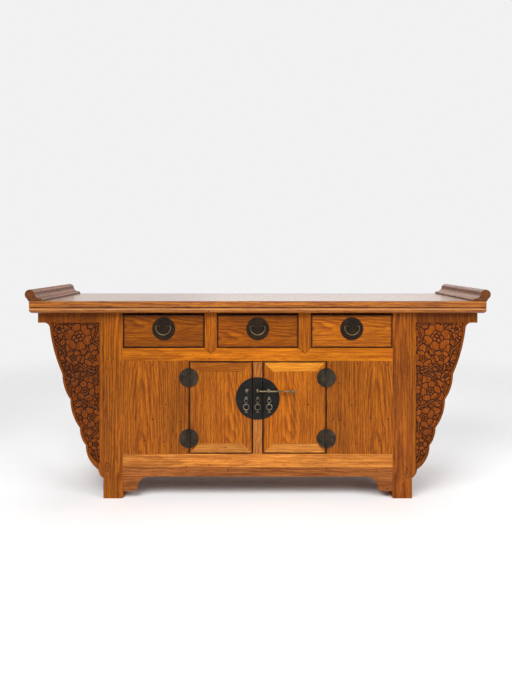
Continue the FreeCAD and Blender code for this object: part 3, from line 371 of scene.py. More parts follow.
def spot_on(tree):
    """A point's own X, Y and Z on a piece."""
    parts = node(tree, "SeparateXYZ")
    wire(tree, (node(tree, "TexCoord"), "Object"), parts, 0)
    return parts


def lay_tone(material, mask, tone, how="MIX"):
    """Lays a tone over a finish, as far as a mask says."""
    tree = material.node_tree
    base = tree.nodes["Principled BSDF"].inputs["Base Color"]
    tree.links.new(blended(tree, mask, base.links[0].from_socket, tone, how), base)


def knot(material, x, z):
    """A grown-over knot: a dark eye with a darker ring, drawn out along the grain."""
    tree = material.node_tree
    parts = spot_on(tree)
    squares = []
    for axis, middle, size in zip("XZ", (x, z), KNOT_SIZE):
        off = formula(tree, "DIVIDE", formula(tree, "SUBTRACT", (parts, axis), middle), size)
        squares.append(formula(tree, "MULTIPLY", off, off))
    far = formula(tree, "SQRT", formula(tree, "ADD", *squares))
    far = formula(tree, "MULTIPLY_ADD", clouds(tree, 110.0, 2.0), 0.4, far)
    eye = formula(tree, "SUBTRACT", 0.85, far, clamp=True)
    ring = formula(tree, "ABSOLUTE", formula(tree, "SUBTRACT", far, 1.15))
    ring = formula(tree, "ADD", formula(tree, "MULTIPLY", ring, -4.0), 1.0, clamp=True)
    ring = formula(tree, "MULTIPLY", ring, 0.8)
    lay_tone(material, formula(tree, "MAXIMUM", eye, ring), KNOT_TONE)


for number, name in enumerate(("front_left_leg", "front_right_leg", "back_left_leg", "back_right_leg")):
    heart = heart_of(name, 0.06 - 0.05 * number, 0.11)
    tones = RED_AMBER if name == "front_right_leg" else AMBER
    post = elm(name + "_elm", UPRIGHT, tones, heart, ring=0.0048, taper=0.012, wander=0.018)
    if name in KNOTS:
        knot(post, *KNOTS[name])
    dress(name, post)

# Rails and apron: long boards tenoned into the legs.  The drawer rail and the bottom rail are of
# a brighter, newer board; the apron is a plain plank cut to a bracket at each end.
for name, tones, side, depth, taper, arris in (
        ("drawer_rail", ((0.585, 0.177, 0.005), (0.292, 0.069, 0.002)), 0.2, 0.09, 0.010, 0.7),
        ("bottom_rail", ((0.700, 0.255, 0.042), (0.350, 0.104, 0.014)), 0.2, 0.09, 0.010, 0.7),
        ("apron", ((0.376, 0.123, 0.025), (0.160, 0.042, 0.008)), -0.3, 0.10, 0.014, 1.0)):
    heart = heart_of(name, side, depth)
    board = elm(name + "_elm", LEVEL, tones, heart, ring=0.0042, taper=taper, wander=0.014)
    dress(name, board, arris)
dress("back_rails", elm("back_rail_elm", LEVEL, AMBER, heart_of("back_rails", 0.1, -0.06)))
dress("side_rails", elm("side_rail_elm", INWARD, AMBER, heart_of("side_rails", 0.04, 0.0)))

# Panels: wide boards with their grain upright, flush with the front frame and set back at the
# sides, and plain boards for the back and the floor.
for name, side in (("left_fixed_panel", -0.05), ("right_fixed_panel", 0.07)):
    dress(name, elm(name + "_elm", UPRIGHT, AMBER, heart_of(name, side, 0.07), specks=0.52), 0.5)
dress("side_panels", elm("side_panel_elm", ("Z", "Y", "X"), AMBER, (0.12, 0.03, 0.4)), 0.5)
dress("back_panels", elm("back_panel_elm", LEVEL, UMBER, heart_of("back_panels", 0.2, -0.08)), 0.5)
dress("floor_board", elm("floor_board_elm", ("X", "Y", "Z"), UMBER, (0.1, 0.05, 0.05)), 0.5)

# Spandrels: shaped boards that hang outside the legs.  The back pair is plain; the front pair is toned
# darker than the legs as painted shade under the top's overhang, and has a sunk field for the carving, a
# paler border beside the leg painted as the highlight on its bead, and a painted shadow line in the joint
# against it.
# the front spandrels' tones, darkened as painted shade under the top's overhang
SPANDREL_IN_SHADE = ((0.260, 0.067, 0.003), (0.107, 0.022, 0.001))
SPANDREL_HEART = (0.5, -0.1, 0.4)
BEAD_HIGHLIGHT_SPAN = (0.6415, 0.6555)
LEG_JOINT = 0.6402
JOINT_SHADOW_TONE = (0.030, 0.009, 0.003)


def retone(material, mask, tones):
    """Gives a board the early and late tones of another where a mask is 1."""
    tree = material.node_tree
    wood = tree.nodes["figure"]
    for socket, tone in zip(("Early", "Late"), tones):
        plain = tuple(wood.inputs[socket].default_value)[:3]
        wire(tree, blended(tree, mask, plain, tone), wood, socket)


dress("back_spandrels", elm("back_spandrel_elm", UPRIGHT, AMBER, (0.5, 0.3, 0.4)), 0.8)
spandrel_elm = elm("spandrel_elm", UPRIGHT, SPANDREL_IN_SHADE, SPANDREL_HEART, taper=0.02)
tree = spandrel_elm.node_tree
out = formula(tree, "ABSOLUTE", (spot_on(tree), "X"))
# a painted highlight on the bead beside the leg: this strip takes the legs' brighter tones
bead_highlight = formula(tree, "MULTIPLY", formula(tree, "LESS_THAN", out, BEAD_HIGHLIGHT_SPAN[1]),
                 formula(tree, "GREATER_THAN", out, BEAD_HIGHLIGHT_SPAN[0]))
retone(spandrel_elm, bead_highlight, AMBER)
# a painted shadow line in the joint against the leg
joint_shadow = formula(tree, "MULTIPLY", formula(tree, "LESS_THAN", out, LEG_JOINT), 0.75)
lay_tone(spandrel_elm, joint_shadow, JOINT_SHADOW_TONE)
dress("carved_spandrels", spandrel_elm, 0.8)

# Carving: flowers on a vine, cut by hand from the spandrel's own board.  A spot of it is given in
# millimetres, out from the leg and down from the top board, and its relief by the height over the ground.
LEG_FACE = 638
BOARD_FOOT = 768
GROUND = 186.0
BURIED = 1.5
BLANK = (234, 608)
BLANK_CORNER = (8, 30)
PITCH = 1.25
FREEHAND = 3.4
FIELD_NEAR = 17
FIELD_HEAD = 42
LAP = 4
# the field's lobed outer edge: reach out from the leg, drop from the board, bulge to the next
FIELD_EDGE = ((17, 626, 14.0), (65, 550, 6.4), (90, 477, 10.0), (129, 360, 8.4), (162, 255, 7.3),
              (214, 66, 0.0), (218, 36, 0.0))
UNCUT = 2.3
CUT = 0.4
CREST = 5.4
INNER_SLOPE = 0.95
OUTER_SLOPE = 0.75
FAR_OFF = 99.0
CUT_SHADE_DEPTH = (-0.1892, -0.1871)
CUT_SHADE_TONE = (0.014, 0.005, 0.002)
CARVED = {"left": ((0.228, 0.053, 0.003), (0.116, 0.023, 0.0015)),
          "right": ((0.356, 0.083, 0.005), (0.190, 0.038, 0.002))}
# flowers: out, down, radius, petals, turn
FLOWERS = ((106, 102, 60, 6, 0.3), (45, 192, 38, 5, 0.6), (124, 188, 34, 5, 0.9), (184, 70, 22, 5, 0.0),
           (142, 264, 24, 5, 0.3), (76, 326, 43, 6, 0.1), (54, 434, 43, 6, 0.4), (36, 548, 29, 5, 0.2))
VINES = (((22, 618), (30, 588), (56, 520), (30, 486), (24, 400), (74, 378), (116, 344), (98, 284), (34, 246)),
         ((34, 246), (78, 232), (104, 222), (132, 236), (166, 214)),
         ((28, 240), (24, 150), (40, 120), (30, 60)),
         ((132, 236), (172, 160), (206, 110)))
VINE_WIDTH = (4.6, 3.6)
LEAVES = 5
MOST_FILLS = 90
LEAST_FILL = 7.5
LEAST_LEAF = 9


def carve(relief, edge, height):
    """Cuts one form over those below; edge is the distance outside its outline, below zero within."""
    within = numpy.minimum(numpy.clip(height, CUT, CREST), CUT - INNER_SLOPE * edge)
    relief[:] = numpy.where(edge < 0, within, numpy.minimum(relief, CUT + OUTER_SLOPE * edge))


def bud(field, out, down, radius, base):
    """A round bud on a base."""
    u, v, relief = field
    dome = numpy.hypot(u - out, v - down) / radius
    carve(relief, (dome - 1) * radius, base + 1.6 * numpy.sqrt(numpy.clip(1 - dome ** 2, 0, 1)))


def flower(field, out, down, radius, petals, turn):
    """Broad full petals with notched tips, a ring of smaller ones, and a seed head."""
    u, v, relief = field
    rho = numpy.hypot(u - out, v - down)
    angle = numpy.arctan2(v - down, u - out) + turn
    for ring, (size, lift) in enumerate(((1.0, 2.2), (0.42, 3.3))):
        swing = (angle + ring * math.pi / petals) * petals / 2
        crown = numpy.abs(numpy.cos(swing))
        notch = 1 - 0.10 * numpy.exp(-((1 - crown) / 0.03) ** 2)
        outline = radius * size * (0.76 + 0.24 * crown ** 0.7) * notch
        along = rho / outline
        # the gap between petals, as a distance from their shared line
        parting = rho * numpy.abs(numpy.arcsin(numpy.clip(crown, 0, 1))) * 2 / petals
        swell = numpy.sqrt(numpy.clip(1 - ((along - 0.60) / 0.62) ** 2, 0, 1)) * crown ** 0.5
        rays = 0.18 * numpy.cos(swing * 6) * along
        dish = lift - 0.7 + 2.9 * swell + rays
        carve(relief, rho - outline, numpy.minimum(dish, 0.6 + parting))
    bud(field, out, down, radius * 0.14, 3.6)


def leaf(field, out, down, angle, length, width, bow):
    """A pointed leaf with lobed sides, a cut midrib and side veins, one half tipped up."""
    u, v, relief = field
    along = ((u - out) * math.cos(angle) + (v - down) * math.sin(angle)) / length
    side = (v - down) * math.cos(angle) - (u - out) * math.sin(angle) - bow * length * along * (1 - along)
    inside = numpy.clip(along, 0.001, 0.999)
    lobes = 0.84 + 0.16 * numpy.abs(numpy.cos(2.5 * math.pi * inside))
    half = width / 2 * numpy.sin(math.pi * inside ** 0.72) * lobes
    edge = numpy.where((along > 0) & (along < 1), numpy.abs(side) - half, FAR_OFF)
    slope = numpy.clip(side / numpy.maximum(half, 0.1), -1, 1)
    rib = 2.0 * numpy.exp(-(side / 1.6) ** 2)
    vein = 0.35 * numpy.cos(2 * math.pi * (along * length - 0.8 * numpy.abs(side)) / 8.0) * numpy.abs(slope)
    carve(relief, edge, 2.0 + 1.7 * numpy.sqrt(1 - slope ** 2) + 0.6 * slope - rib + vein)


def stem(field, points, start, stop):
    """A rounded stem along points, from one half-width to another."""
    u, v, relief = field
    best = numpy.full(u.shape, FAR_OFF)
    half = numpy.full(u.shape, start)
    for number, ((a, b), (c, d)) in enumerate(zip(points, points[1:])):
        step = ((u - a) * (c - a) + (v - b) * (d - b)) / max((c - a) ** 2 + (d - b) ** 2, 1e-9)
        step = numpy.clip(step, 0, 1)
        width = start + (stop - start) * (number + step) / (len(points) - 1)
        edge = numpy.hypot(u - a - step * (c - a), v - b - step * (d - b)) - width
        half = numpy.where(edge < best, width, half)
        best = numpy.minimum(best, edge)
    round_part = numpy.clip((best + half) / half, 0, 1)
    carve(relief, best, 1.8 + 0.75 * half * numpy.sqrt(1 - round_part ** 2))


def flowing(points, steps=7):
    """Points of a smooth line through a few points."""
    ends = (points[0], *points, points[-1])
    line = []
    for a, b, c, d in zip(ends, ends[1:], ends[2:], ends[3:]):
        for step in range(steps):
            t = step / steps
            line.append(tuple(0.5 * (2 * q + (r - p) * t + (2 * p - 5 * q + 4 * r - s) * t * t
                                     + (3 * q - p - 3 * r + s) * t ** 3) for p, q, r, s in zip(a, b, c, d)))
    return line + [points[-1]]


def field_reach(drop):
    """How far the sunk field reaches out from the leg at a drop below the board."""
    reach = numpy.zeros(drop.shape)
    for (near, low, bulge), (far, high, _) in zip(FIELD_EDGE, FIELD_EDGE[1:]):
        t = (low - drop) / (low - high)
        here = (t >= 0) & (t <= 1)
        reach = numpy.where(here, near + (far - near) * t + bulge * 4 * t * (1 - t), reach)
    return reach


def spots_of(bm):
    """Where each point of the carving lies, out from the leg and down from the board."""
    spots = numpy.array([vert.co for vert in bm.verts])
    return numpy.abs(spots[:, 0]) - LEG_FACE, BOARD_FOOT - spots[:, 2]


def fill(field, wall, chance):
    """Puts leaves and buds on what ground is left, in the widest gap first."""
    u, v, relief = field
    taken = (relief > UNCUT + 0.05) & (wall > 0)
    thin = numpy.flatnonzero(taken)[::5]
    room = numpy.flatnonzero(~taken & (wall > 3))[::5]
    gap = numpy.array([numpy.hypot(u[thin] - u[i], v[thin] - v[i]).min() for i in room])
    gap = numpy.minimum(gap, wall[room])
    for _ in range(MOST_FILLS):
        widest = int(numpy.argmax(gap))
        size = float(gap[widest])
        if size < LEAST_FILL:
            break
        out, down = float(u[room[widest]]), float(v[room[widest]])
        angle = chance.uniform(0, 2 * math.pi)
        if size > LEAST_LEAF:
            leaf(field, out - size * math.cos(angle), down - size * math.sin(angle), angle,
                 2 * size, 1.4 * size, 0.3)
        else:
            bud(field, out, down, size * 0.8, 2.2)
        gap = numpy.minimum(gap, numpy.hypot(u[room] - out, v[room] - down) - size * 0.9)


def shade_in_cuts(material):
    """Painted shade in the cuts of a carving, deepening from a crest down to its root, and duller polish
    there.
    """
    tree = material.node_tree
    shader = tree.nodes["Principled BSDF"]
    # painted shade, darkest where the cut goes deepest
    sunk = between(tree, (spot_on(tree), "Y"), *CUT_SHADE_DEPTH)
    lay_tone(material, formula(tree, "MULTIPLY", sunk, 0.95), CUT_SHADE_TONE)
    dry = formula(tree, "SUBTRACT", (tree.nodes["figure"], "Roughness"), 0.10)
    wire(tree, formula(tree, "MULTIPLY_ADD", sunk, 0.45, dry), shader, "Roughness")
    shader.inputs["Specular IOR Level"].default_value = 0.11
    return material


def only(kind, items):
    """The verts, edges or faces among what an operator gives back."""
    return [item for item in items if isinstance(item, kind)]


for side, name in ((-1, "left"), (1, "right")):
    (wide, tall), (near, head) = BLANK, BLANK_CORNER
    bm = bmesh.new()
    bmesh.ops.create_grid(bm, x_segments=int(wide / PITCH), y_segments=int(tall / PITCH), size=0.5)
    for vert in bm.verts:
        out, down = vert.co.x * wide + wide / 2 + near, vert.co.y * tall + tall / 2 + head
        vert.co = (side * (LEG_FACE + out), -GROUND, BOARD_FOOT - down)
    out, down = spots_of(bm)
    # the blank is cut to the field and laps a little into its wall
    inside = (out > FIELD_NEAR - LAP) & (down > FIELD_HEAD - LAP) & (out < field_reach(down) + LAP)
    bmesh.ops.delete(bm, geom=[vert for vert, kept in zip(bm.verts, inside) if not kept], context="VERTS")
    bmesh.ops.delete(bm, geom=[vert for vert in bm.verts if not vert.link_faces], context="VERTS")
    u, v = spots_of(bm)
    relief = numpy.full(u.shape, UNCUT)
    wall = numpy.minimum(numpy.minimum(u - FIELD_NEAR, v - FIELD_HEAD), (field_reach(v) - u) * 0.92)
    # no line of a hand carver is true: the drawing is pushed about by a few millimetres
    field = (u + FREEHAND * numpy.sin(v / 11 + 0.8 * numpy.sin(u / 17)),
             v + FREEHAND * numpy.sin(u / 12 + 0.9 * numpy.sin(v / 19)), relief)
    chance = random.Random(11)
    for out, down, radius, _, turn in FLOWERS:
        for number in range(LEAVES):
            angle = turn + number * 2 * math.pi / LEAVES + 0.5
            start = 0.60 * radius
            leaf(field, out + start * math.cos(angle), down + start * math.sin(angle),
                 angle + chance.uniform(-0.35, 0.35), radius * 0.85 + 18, radius * 0.62 + 12,
                 chance.choice((-0.5, 0.5)))
    for points in VINES:
        stem(field, flowing(points), *VINE_WIDTH)
    for item in FLOWERS:
        flower(field, *item)
    fill(field, wall, chance)
    # beside the wall the relief runs down to the ground
    relief = numpy.minimum(relief, numpy.maximum(0.3, 0.5 + 2.0 * wall))
    for vert, height in zip(bm.verts, relief):
        vert.co.y = -GROUND - height
    rim = [edge for edge in bm.edges if edge.is_boundary]
    for vert in only(bmesh.types.BMVert, bmesh.ops.extrude_edge_only(bm, edges=rim)["geom"]):
        vert.co.y = BURIED - GROUND
    bmesh.ops.holes_fill(bm, edges=[edge for edge in bm.edges if edge.is_boundary], sides=0)
    bmesh.ops.scale(bm, verts=bm.verts, vec=(MILLIMETRE, MILLIMETRE, MILLIMETRE))
    bmesh.ops.recalc_face_normals(bm, faces=bm.faces)
    for face in bm.faces:
        face.smooth = True
    wood = shade_in_cuts(elm(f"{name}_carved_elm", UPRIGHT, CARVED[name], SPANDREL_HEART, taper=0.02))
    carving = settle(bm, f"{name}_carving", wood)
    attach(carving, "cabinet")

# Drawer row: dividers with a pointed shoulder let into the rail, runners behind them, and three
# drawers, each a thick front on a box of thin boards.  A darker band is painted along the edges of a front's
# face.
DIVIDER = ((0.512, 0.146, 0.005), (0.203, 0.0425, 0.002))
DIVIDER_OUT = 0.194333
POINT_RISE = 0.596
POINT_LINE = 0.0055
POINT_SHADOW_TONE = (0.040, 0.012, 0.004)
FACE_DEPTH = 0.0016
EDGE_BAND_WIDTH = 0.005
EDGE_BAND_TONE = (0.022, 0.008, 0.004)
BOX_BACK = 0.0125
BACK_SHIFT = (0.2, -0.62, 0.09)
# drawers: name, heart up from the middle, tones
DRAWERS = (("left", 0.02, ((0.294, 0.079, 0.0015), (0.119, 0.025, 0.001))),
           ("middle", -0.03, ((0.350, 0.093, 0.0015), (0.142, 0.029, 0.001))),
           ("right", 0.01, ((0.478, 0.140, 0.007), (0.205, 0.046, 0.002))))

divider_elm = elm("divider_elm", UPRIGHT, DIVIDER, (0.05, -0.08, 0.69), taper=0.01)
tree = divider_elm.node_tree
parts = spot_on(tree)
# a painted shadow line along the V of each divider's point, where it is let into the rail
aside = formula(tree, "SUBTRACT", formula(tree, "ABSOLUTE", (parts, "X")), DIVIDER_OUT)
inset = formula(tree, "SUBTRACT", (parts, "Z"), POINT_RISE)
inset = formula(tree, "SUBTRACT", inset, formula(tree, "ABSOLUTE", aside))
cut = formula(tree, "SUBTRACT", 1.0, formula(tree, "DIVIDE", inset, POINT_LINE), clamp=True)
lay_tone(divider_elm, formula(tree, "MULTIPLY", cut, 0.8), POINT_SHADOW_TONE)
dress("drawer_dividers", divider_elm)
dress("drawer_runners", elm("runner_elm", INWARD, UMBER, (0.1, 0.0, 0.5)))
grime, given, result = effect(
    "dark_edge_band",
    {"Vector": "Vector", "Low": "Vector", "High": "Vector", "Width": "Float"},
    {"Mask": "Float"})


def past(first, second):
    """How far the first of the grime's points lies past the second, by axis."""
    gap = node(grime, "VectorMath", operation="SUBTRACT")
    wire(grime, (given, first), gap, 0)
    wire(grime, (given, second), gap, 1)
    parts = node(grime, "SeparateXYZ")
    wire(grime, gap, parts, 0)
    return parts


low, high = past("Vector", "Low"), past("High", "Vector")
near = formula(grime, "MINIMUM", formula(grime, "MINIMUM", (low, "X"), (low, "Z")),
               formula(grime, "MINIMUM", (high, "X"), (high, "Z")))
edge_noise = node(grime, "TexNoise", Scale=38.0, Detail=3.0)
wire(grime, (given, "Vector"), edge_noise, "Vector")
near = formula(grime, "DIVIDE", near, (given, "Width"))
near = formula(grime, "SUBTRACT", near, formula(grime, "MULTIPLY", edge_noise, 1.2))
edge_dark = formula(grime, "SUBTRACT", 0.8, near, clamp=True)
face = formula(grime, "LESS_THAN", (low, "Y"), FACE_DEPTH)
wire(grime, formula(grime, "MULTIPLY", edge_dark, face), result, "Mask")


def edge_darkened(material, low, high):
    """Darkens the face of a board along its outer edges."""
    tree = material.node_tree
    edge = placed(tree, grime, "grime", Low=low, High=high, Width=EDGE_BAND_WIDTH)
    wire(tree, (node(tree, "TexCoord"), "Object"), edge, "Vector")
    lay_tone(material, formula(tree, "MULTIPLY", edge, 0.9), EDGE_BAND_TONE)
    return material


def regrain(material, mask, grain, shift):
    """Turns the grain to other axes where a mask is 1, and shifts it to another part of the log."""
    tree = material.node_tree
    wood = tree.nodes["figure"]
    first = wood.inputs["Vector"].links[0].from_socket
    shifted = node(tree, "VectorMath", operation="ADD")
    wire(tree, turned(tree, spot_on(tree), grain), shifted, 0)
    shifted.inputs[1].default_value = shift
    choice = node(tree, "Mix", data_type="VECTOR")
    wire(tree, mask, choice, 0)
    wire(tree, first, choice, 4)
    wire(tree, shifted, choice, 5)
    wire(tree, choice.outputs[1], wood, "Vector")


def boxed(name):
    """The thin boards of a drawer: sides and bottom grained to the back, the back grained across."""
    thin = elm(name + "_elm", INWARD, UMBER, heart_of(name, 0.1))
    tree = thin.node_tree
    rear = formula(tree, "GREATER_THAN", (spot_on(tree), "Y"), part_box(name)[1].y - BOX_BACK)
    regrain(thin, rear, LEVEL, BACK_SHIFT)
    dress(name, thin, None)


for name, lift, tones in DRAWERS:
    front = f"{name}_drawer_front"
    x, y, z = heart_of(front, 0.0, 0.035)
    board = elm(front + "_elm", LEVEL, tones, (x, y, z + lift), taper=0.07, wander=0.045)
    dress(front, edge_darkened(board, *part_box(front)), 0.9)
    boxed(f"{name}_drawer_box")

# Doors: four mitred members round a flush panel, and the loose post between the doors.  Stiles run
# upright and rails level, so the grain turns at each mitre.  Both foot rails and the head rail of
# the right door are of paler boards.
RAIL_SHIFT = (0.31, -0.17, 0.24)
PALE_RAIL = ((0.670, 0.258, 0.044), (0.360, 0.119, 0.017))
# doors: name, heart to the side, tones, tones of the head rail
DOORS = (("left", 0.03, ((0.465, 0.136, 0.006), (0.207, 0.046, 0.002)),
          ((0.440, 0.128, 0.006), (0.190, 0.042, 0.002))),
         ("right", -0.04, ((0.540, 0.155, 0.006), (0.240, 0.052, 0.002)),
          ((0.745, 0.294, 0.024), (0.440, 0.138, 0.009))))
CENTER_POST = ((0.464, 0.165, 0.030), (0.210, 0.059, 0.010))


def mitred(material, low, high, head, foot):
    """Turns the grain of the two level members of a frame and gives each the tones of its own board."""
    tree = material.node_tree
    parts = spot_on(tree)
    ends = []
    for axis, near, far in (("X", low.x, high.x), ("Z", low.z, high.z)):
        ends.append(formula(tree, "MINIMUM", formula(tree, "SUBTRACT", (parts, axis), near),
                            formula(tree, "SUBTRACT", far, (parts, axis))))
    level = formula(tree, "LESS_THAN", ends[1], ends[0])
    regrain(material, level, LEVEL, RAIL_SHIFT)
    upper = formula(tree, "GREATER_THAN", (parts, "Z"), (low.z + high.z) / 2)
    retone(material, level, [blended(tree, upper, down, up) for down, up in zip(foot, head)])


for name, side, tones, head in DOORS:
    door, panel = f"{name}_door_frame", f"{name}_door_panel"
    member = elm(door + "_elm", UPRIGHT, tones, heart_of(door, side, 0.09))
    mitred(member, *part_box(f"{name}_door_frame"), head, PALE_RAIL)
    dress(door, edge_darkened(member, *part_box(f"{name}_door_frame")), None)
    heart = heart_of(panel, side, 0.045)
    dress(panel, elm(panel + "_elm", UPRIGHT, tones, heart, taper=0.09, wander=0.06), 0.5)
dress("center_post", elm("post_elm", UPRIGHT, CENTER_POST, heart_of("center_post", 0.03, 0.06)), 0.6)

# Top: a mitred frame with a moulded edge round a wide panel, a roll at each end, and battens below.
# It has the thickest polish, so that at a low angle it shows the bright room.
EDGE = ((0.480, 0.158, 0.014), (0.190, 0.046, 0.005))
EDGE_COAT = 0.5
# painted lines along the edge, shade in the groove and a highlight on the bead: height, half its width, tone,
# strength
GROOVE = (0.792, 0.0040, (0.022, 0.007, 0.003), 2.1)
EDGE_BEAD_HIGHLIGHT = (0.785, 0.0030, (0.85, 0.47, 0.20), 0.9)
UPPER_FACE = 0.8172
AGED = (0.50, 0.62, 1.0)
WORN_TOP = ((0.250, 0.125, 0.058), (0.152, 0.070, 0.031))
TOP_COAT = 0.9
ROLL_COAT = 0.17
ROLL = ((0.200, 0.062, 0.010), (0.070, 0.017, 0.003))
ROLL_JOINT = 0.0030
ROLL_FOOT_SHADE = (0.020, 0.006, 0.003)


def polished(material, weight, roughness=0.20):
    """A coat of polish over the wood."""
    shader = material.node_tree.nodes["Principled BSDF"]
    shader.inputs["Coat Weight"].default_value = weight
    shader.inputs["Coat Roughness"].default_value = roughness
    shader.inputs["Coat IOR"].default_value = 1.5
    return material


def lined(material):
    """Painted shade and dirt along the groove of the edge, a painted highlight on the bead below it, and an
    aged upper face.
    """
    tree = material.node_tree
    height = (spot_on(tree), "Z")
    patchy = clouds(tree, 9.0, 4.0)
    lines = []
    # painted shade and dirt in the groove, and a painted highlight on the bead
    for level, half, tone, strength in (GROOVE, EDGE_BEAD_HIGHLIGHT):
        off = formula(tree, "ABSOLUTE", formula(tree, "SUBTRACT", height, level))
        line = formula(tree, "SUBTRACT", 1.0, formula(tree, "DIVIDE", off, half), clamp=True)
        line = formula(tree, "MULTIPLY", formula(tree, "MULTIPLY", line, patchy), strength, clamp=True)
        lay_tone(material, line, tone)
        lines.append(line)
    above = formula(tree, "GREATER_THAN", height, UPPER_FACE)
    lay_tone(material, above, AGED, "MULTIPLY")
    clean = formula(tree, "MULTIPLY", formula(tree, "SUBTRACT", 1.0, lines[0]), EDGE_COAT)
    wire(tree, formula(tree, "MAXIMUM", clean, above), tree.nodes["Principled BSDF"], "Coat Weight")
    return material


for name, grain in (("top_front_rail", LEVEL), ("top_back_rail", LEVEL), ("top_end_rails", INWARD)):
    board = elm(name + "_elm", grain, EDGE, heart_of(name, 0.2, 0.04), ring=0.0042, taper=0.008, wander=0.016)
    dress(name, polished(lined(board), EDGE_COAT), 0.5)
panel = elm("top_panel_elm", ("X", "Y", "Z"), WORN_TOP, (0.2, 0.05, 0.76), taper=0.03, bump=0.04)
dress("top_panel", polished(panel, TOP_COAT), 0.4)
for name in ("left_scroll_flange", "right_scroll_flange"):
    roll = elm(name + "_elm", INWARD, ROLL, heart_of(name, 0.03, 0.0), taper=0.01)
    polished(roll, ROLL_COAT, roughness=0.38)
    tree = roll.node_tree
    # a painted shadow line along the roll's foot, in the crease where it meets the board
    joint_shadow = formula(tree, "LESS_THAN", (spot_on(tree), "Z"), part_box(name)[0].z + ROLL_JOINT)
    lay_tone(roll, joint_shadow, ROLL_FOOT_SHADE)
    dress(name, roll, 0.0)
dress("top_battens", elm("batten_elm", INWARD, UMBER, (0.0, 0.0, 0.7)))

# Hinges: split round leaves of dark brass on door and panel, nailed flat, with knuckles in front of
# the gap and a pin through them.  The dark patina is a group that all the metal takes.
tarnish, given, result = effect("tarnish", {"Dark": "Color", "Worn": "Color", "Wear": "Float"},
                                {"Color": "Color", "Roughness": "Float", "Height": "Float"})
mottle = clouds(tarnish, 140.0, 5.0, 0.6)
rubbed = formula(tarnish, "MULTIPLY", mottle, 0.5)
rubbed = formula(tarnish, "MULTIPLY_ADD", clouds(tarnish, 28.0, 3.0), 0.7, rubbed)
rubbed = formula(tarnish, "ADD", rubbed, formula(tarnish, "SUBTRACT", (given, "Wear"), 1.0))
rubbed = formula(tarnish, "MULTIPLY", formula(tarnish, "ADD", rubbed, 0.1), 2.4, clamp=True)
wire(tarnish, blended(tarnish, rubbed, (given, "Dark"), (given, "Worn")), result, "Color")
wire(tarnish, formula(tarnish, "MULTIPLY_ADD", rubbed, -0.20, 0.56), result, "Roughness")
wire(tarnish, mottle, result, "Height")


def brass(name, dark, worn, wear, metallic):
    """Brass under a patina: its dark and its rubbed colour, and how much is rubbed."""
    material, tree, shader = finish(name, 0.3)
    shader.inputs["Metallic"].default_value = metallic
    skin = placed(tree, tarnish, "skin", Dark=(*dark, 1.0), Worn=(*worn, 1.0), Wear=wear)
    dents = node(tree, "Bump", Strength=0.15, Distance=0.0008)
    wire(tree, (skin, "Height"), dents, "Height")
    wire(tree, (skin, "Color"), shader, "Base Color")
    wire(tree, (skin, "Roughness"), shader, "Roughness")
    wire(tree, dents, shader, "Normal")
    return material


leaf_brass = brass("leaf_brass", (0.018, 0.013, 0.008), (0.078, 0.055, 0.035), wear=0.42, metallic=0.6)
for name in ("hinge_fixed_leaves", "hinge_pins", "left_door_hinge_leaves", "right_door_hinge_leaves"):
    dress(name, leaf_brass, 0.25)

# Drawer handles: a round plate with two turned posts riveted through the front, and a bail of
# round wire bent to a bow, its ends sprung into the posts.  Sizes are in millimetres.
plate_brass = brass("plate_brass", (0.008, 0.004, 0.001), (0.040, 0.018, 0.004), wear=0.42, metallic=0.5)
bail_brass = brass("bail_brass", (0.036, 0.027, 0.015), (0.270, 0.205, 0.112), wear=0.54, metallic=0.85)
CREASE = math.radians(38)
DRAWER_PITCH = 388.6667
DRAWER_FACE = -195
HANDLE_RISE = 701.5
BAIL_RISE = 713.0
BAIL_LINE = -205.5
POST_OUT = 21
BAIL_WIRE = 1.75
BAIL_IN = 6
BAIL_END = 10.5
BAIL_CORNER = 5
# turned shapes: radius, distance from the face
PLATE_TURNED = ((0, 0), (47.5, 0), (47.5, 1.0), (47.0, 1.6), (45.6, 1.9), (42.5, 2.0), (0, 2.0))
POST_TURNED = ((0, 1.5), (5.0, 1.5), (5.0, 2.6), (3.6, 3.4), (2.9, 5.0), (3.2, 6.2), (4.0, 8.4), (4.0, 12.4),
               (3.4, 14.2), (2.0, 14.9), (0, 15.0))
# bends: out from the middle, angle, steps
BAIL_BENDS = ((25.5, 90, 6), (0, 180, 36), (-25.5, 90, 6))
OUTWARD = (0, -1, 0)


def lathe(bm, profile, centre, along, steps=32):
    """Turns a profile of (radius, distance) pairs round a line from a centre."""
    along = Vector(along)
    side = along.orthogonal().normalized()
    ring = [bm.verts.new(Vector(centre) + along * far + side * radius) for radius, far in profile]
    edges = [bm.edges.new(pair) for pair in zip(ring, ring[1:])]
    bmesh.ops.spin(bm, geom=ring + edges, cent=centre, axis=along, angle=2 * math.pi, steps=steps,
                   use_merge=True)


def loop_of(ring):
    """A ring of verts with its edges."""
    return ring + list({edge for vert in ring for edge in vert.link_edges})


def hoop(bm, centre, axis, radius, thick, broad, steps=32, corners=10):
    """A ring round an axis, with an oval section."""
    axis = Vector(axis)
    side = axis.orthogonal().normalized()
    turn = Matrix((side, axis, side.cross(axis))).transposed().to_4x4()
    place = Matrix.Translation(Vector(centre) + side * radius) @ turn @ Matrix.Diagonal((thick, broad, 1, 1))
    ring = bmesh.ops.create_circle(bm, radius=1, segments=corners, matrix=place)["verts"]
    bmesh.ops.spin(bm, geom=loop_of(ring), cent=centre, axis=axis, angle=2 * math.pi, steps=steps,
                   use_merge=True)


def drawn(bm, tip, far):
    """Draws a wire straight on from its end face."""
    tip = only(bmesh.types.BMFace, bmesh.ops.extrude_face_region(bm, geom=tip)["geom"])
    bmesh.ops.translate(bm, verts=tip[0].verts, vec=(far, 0, 0))
    return tip


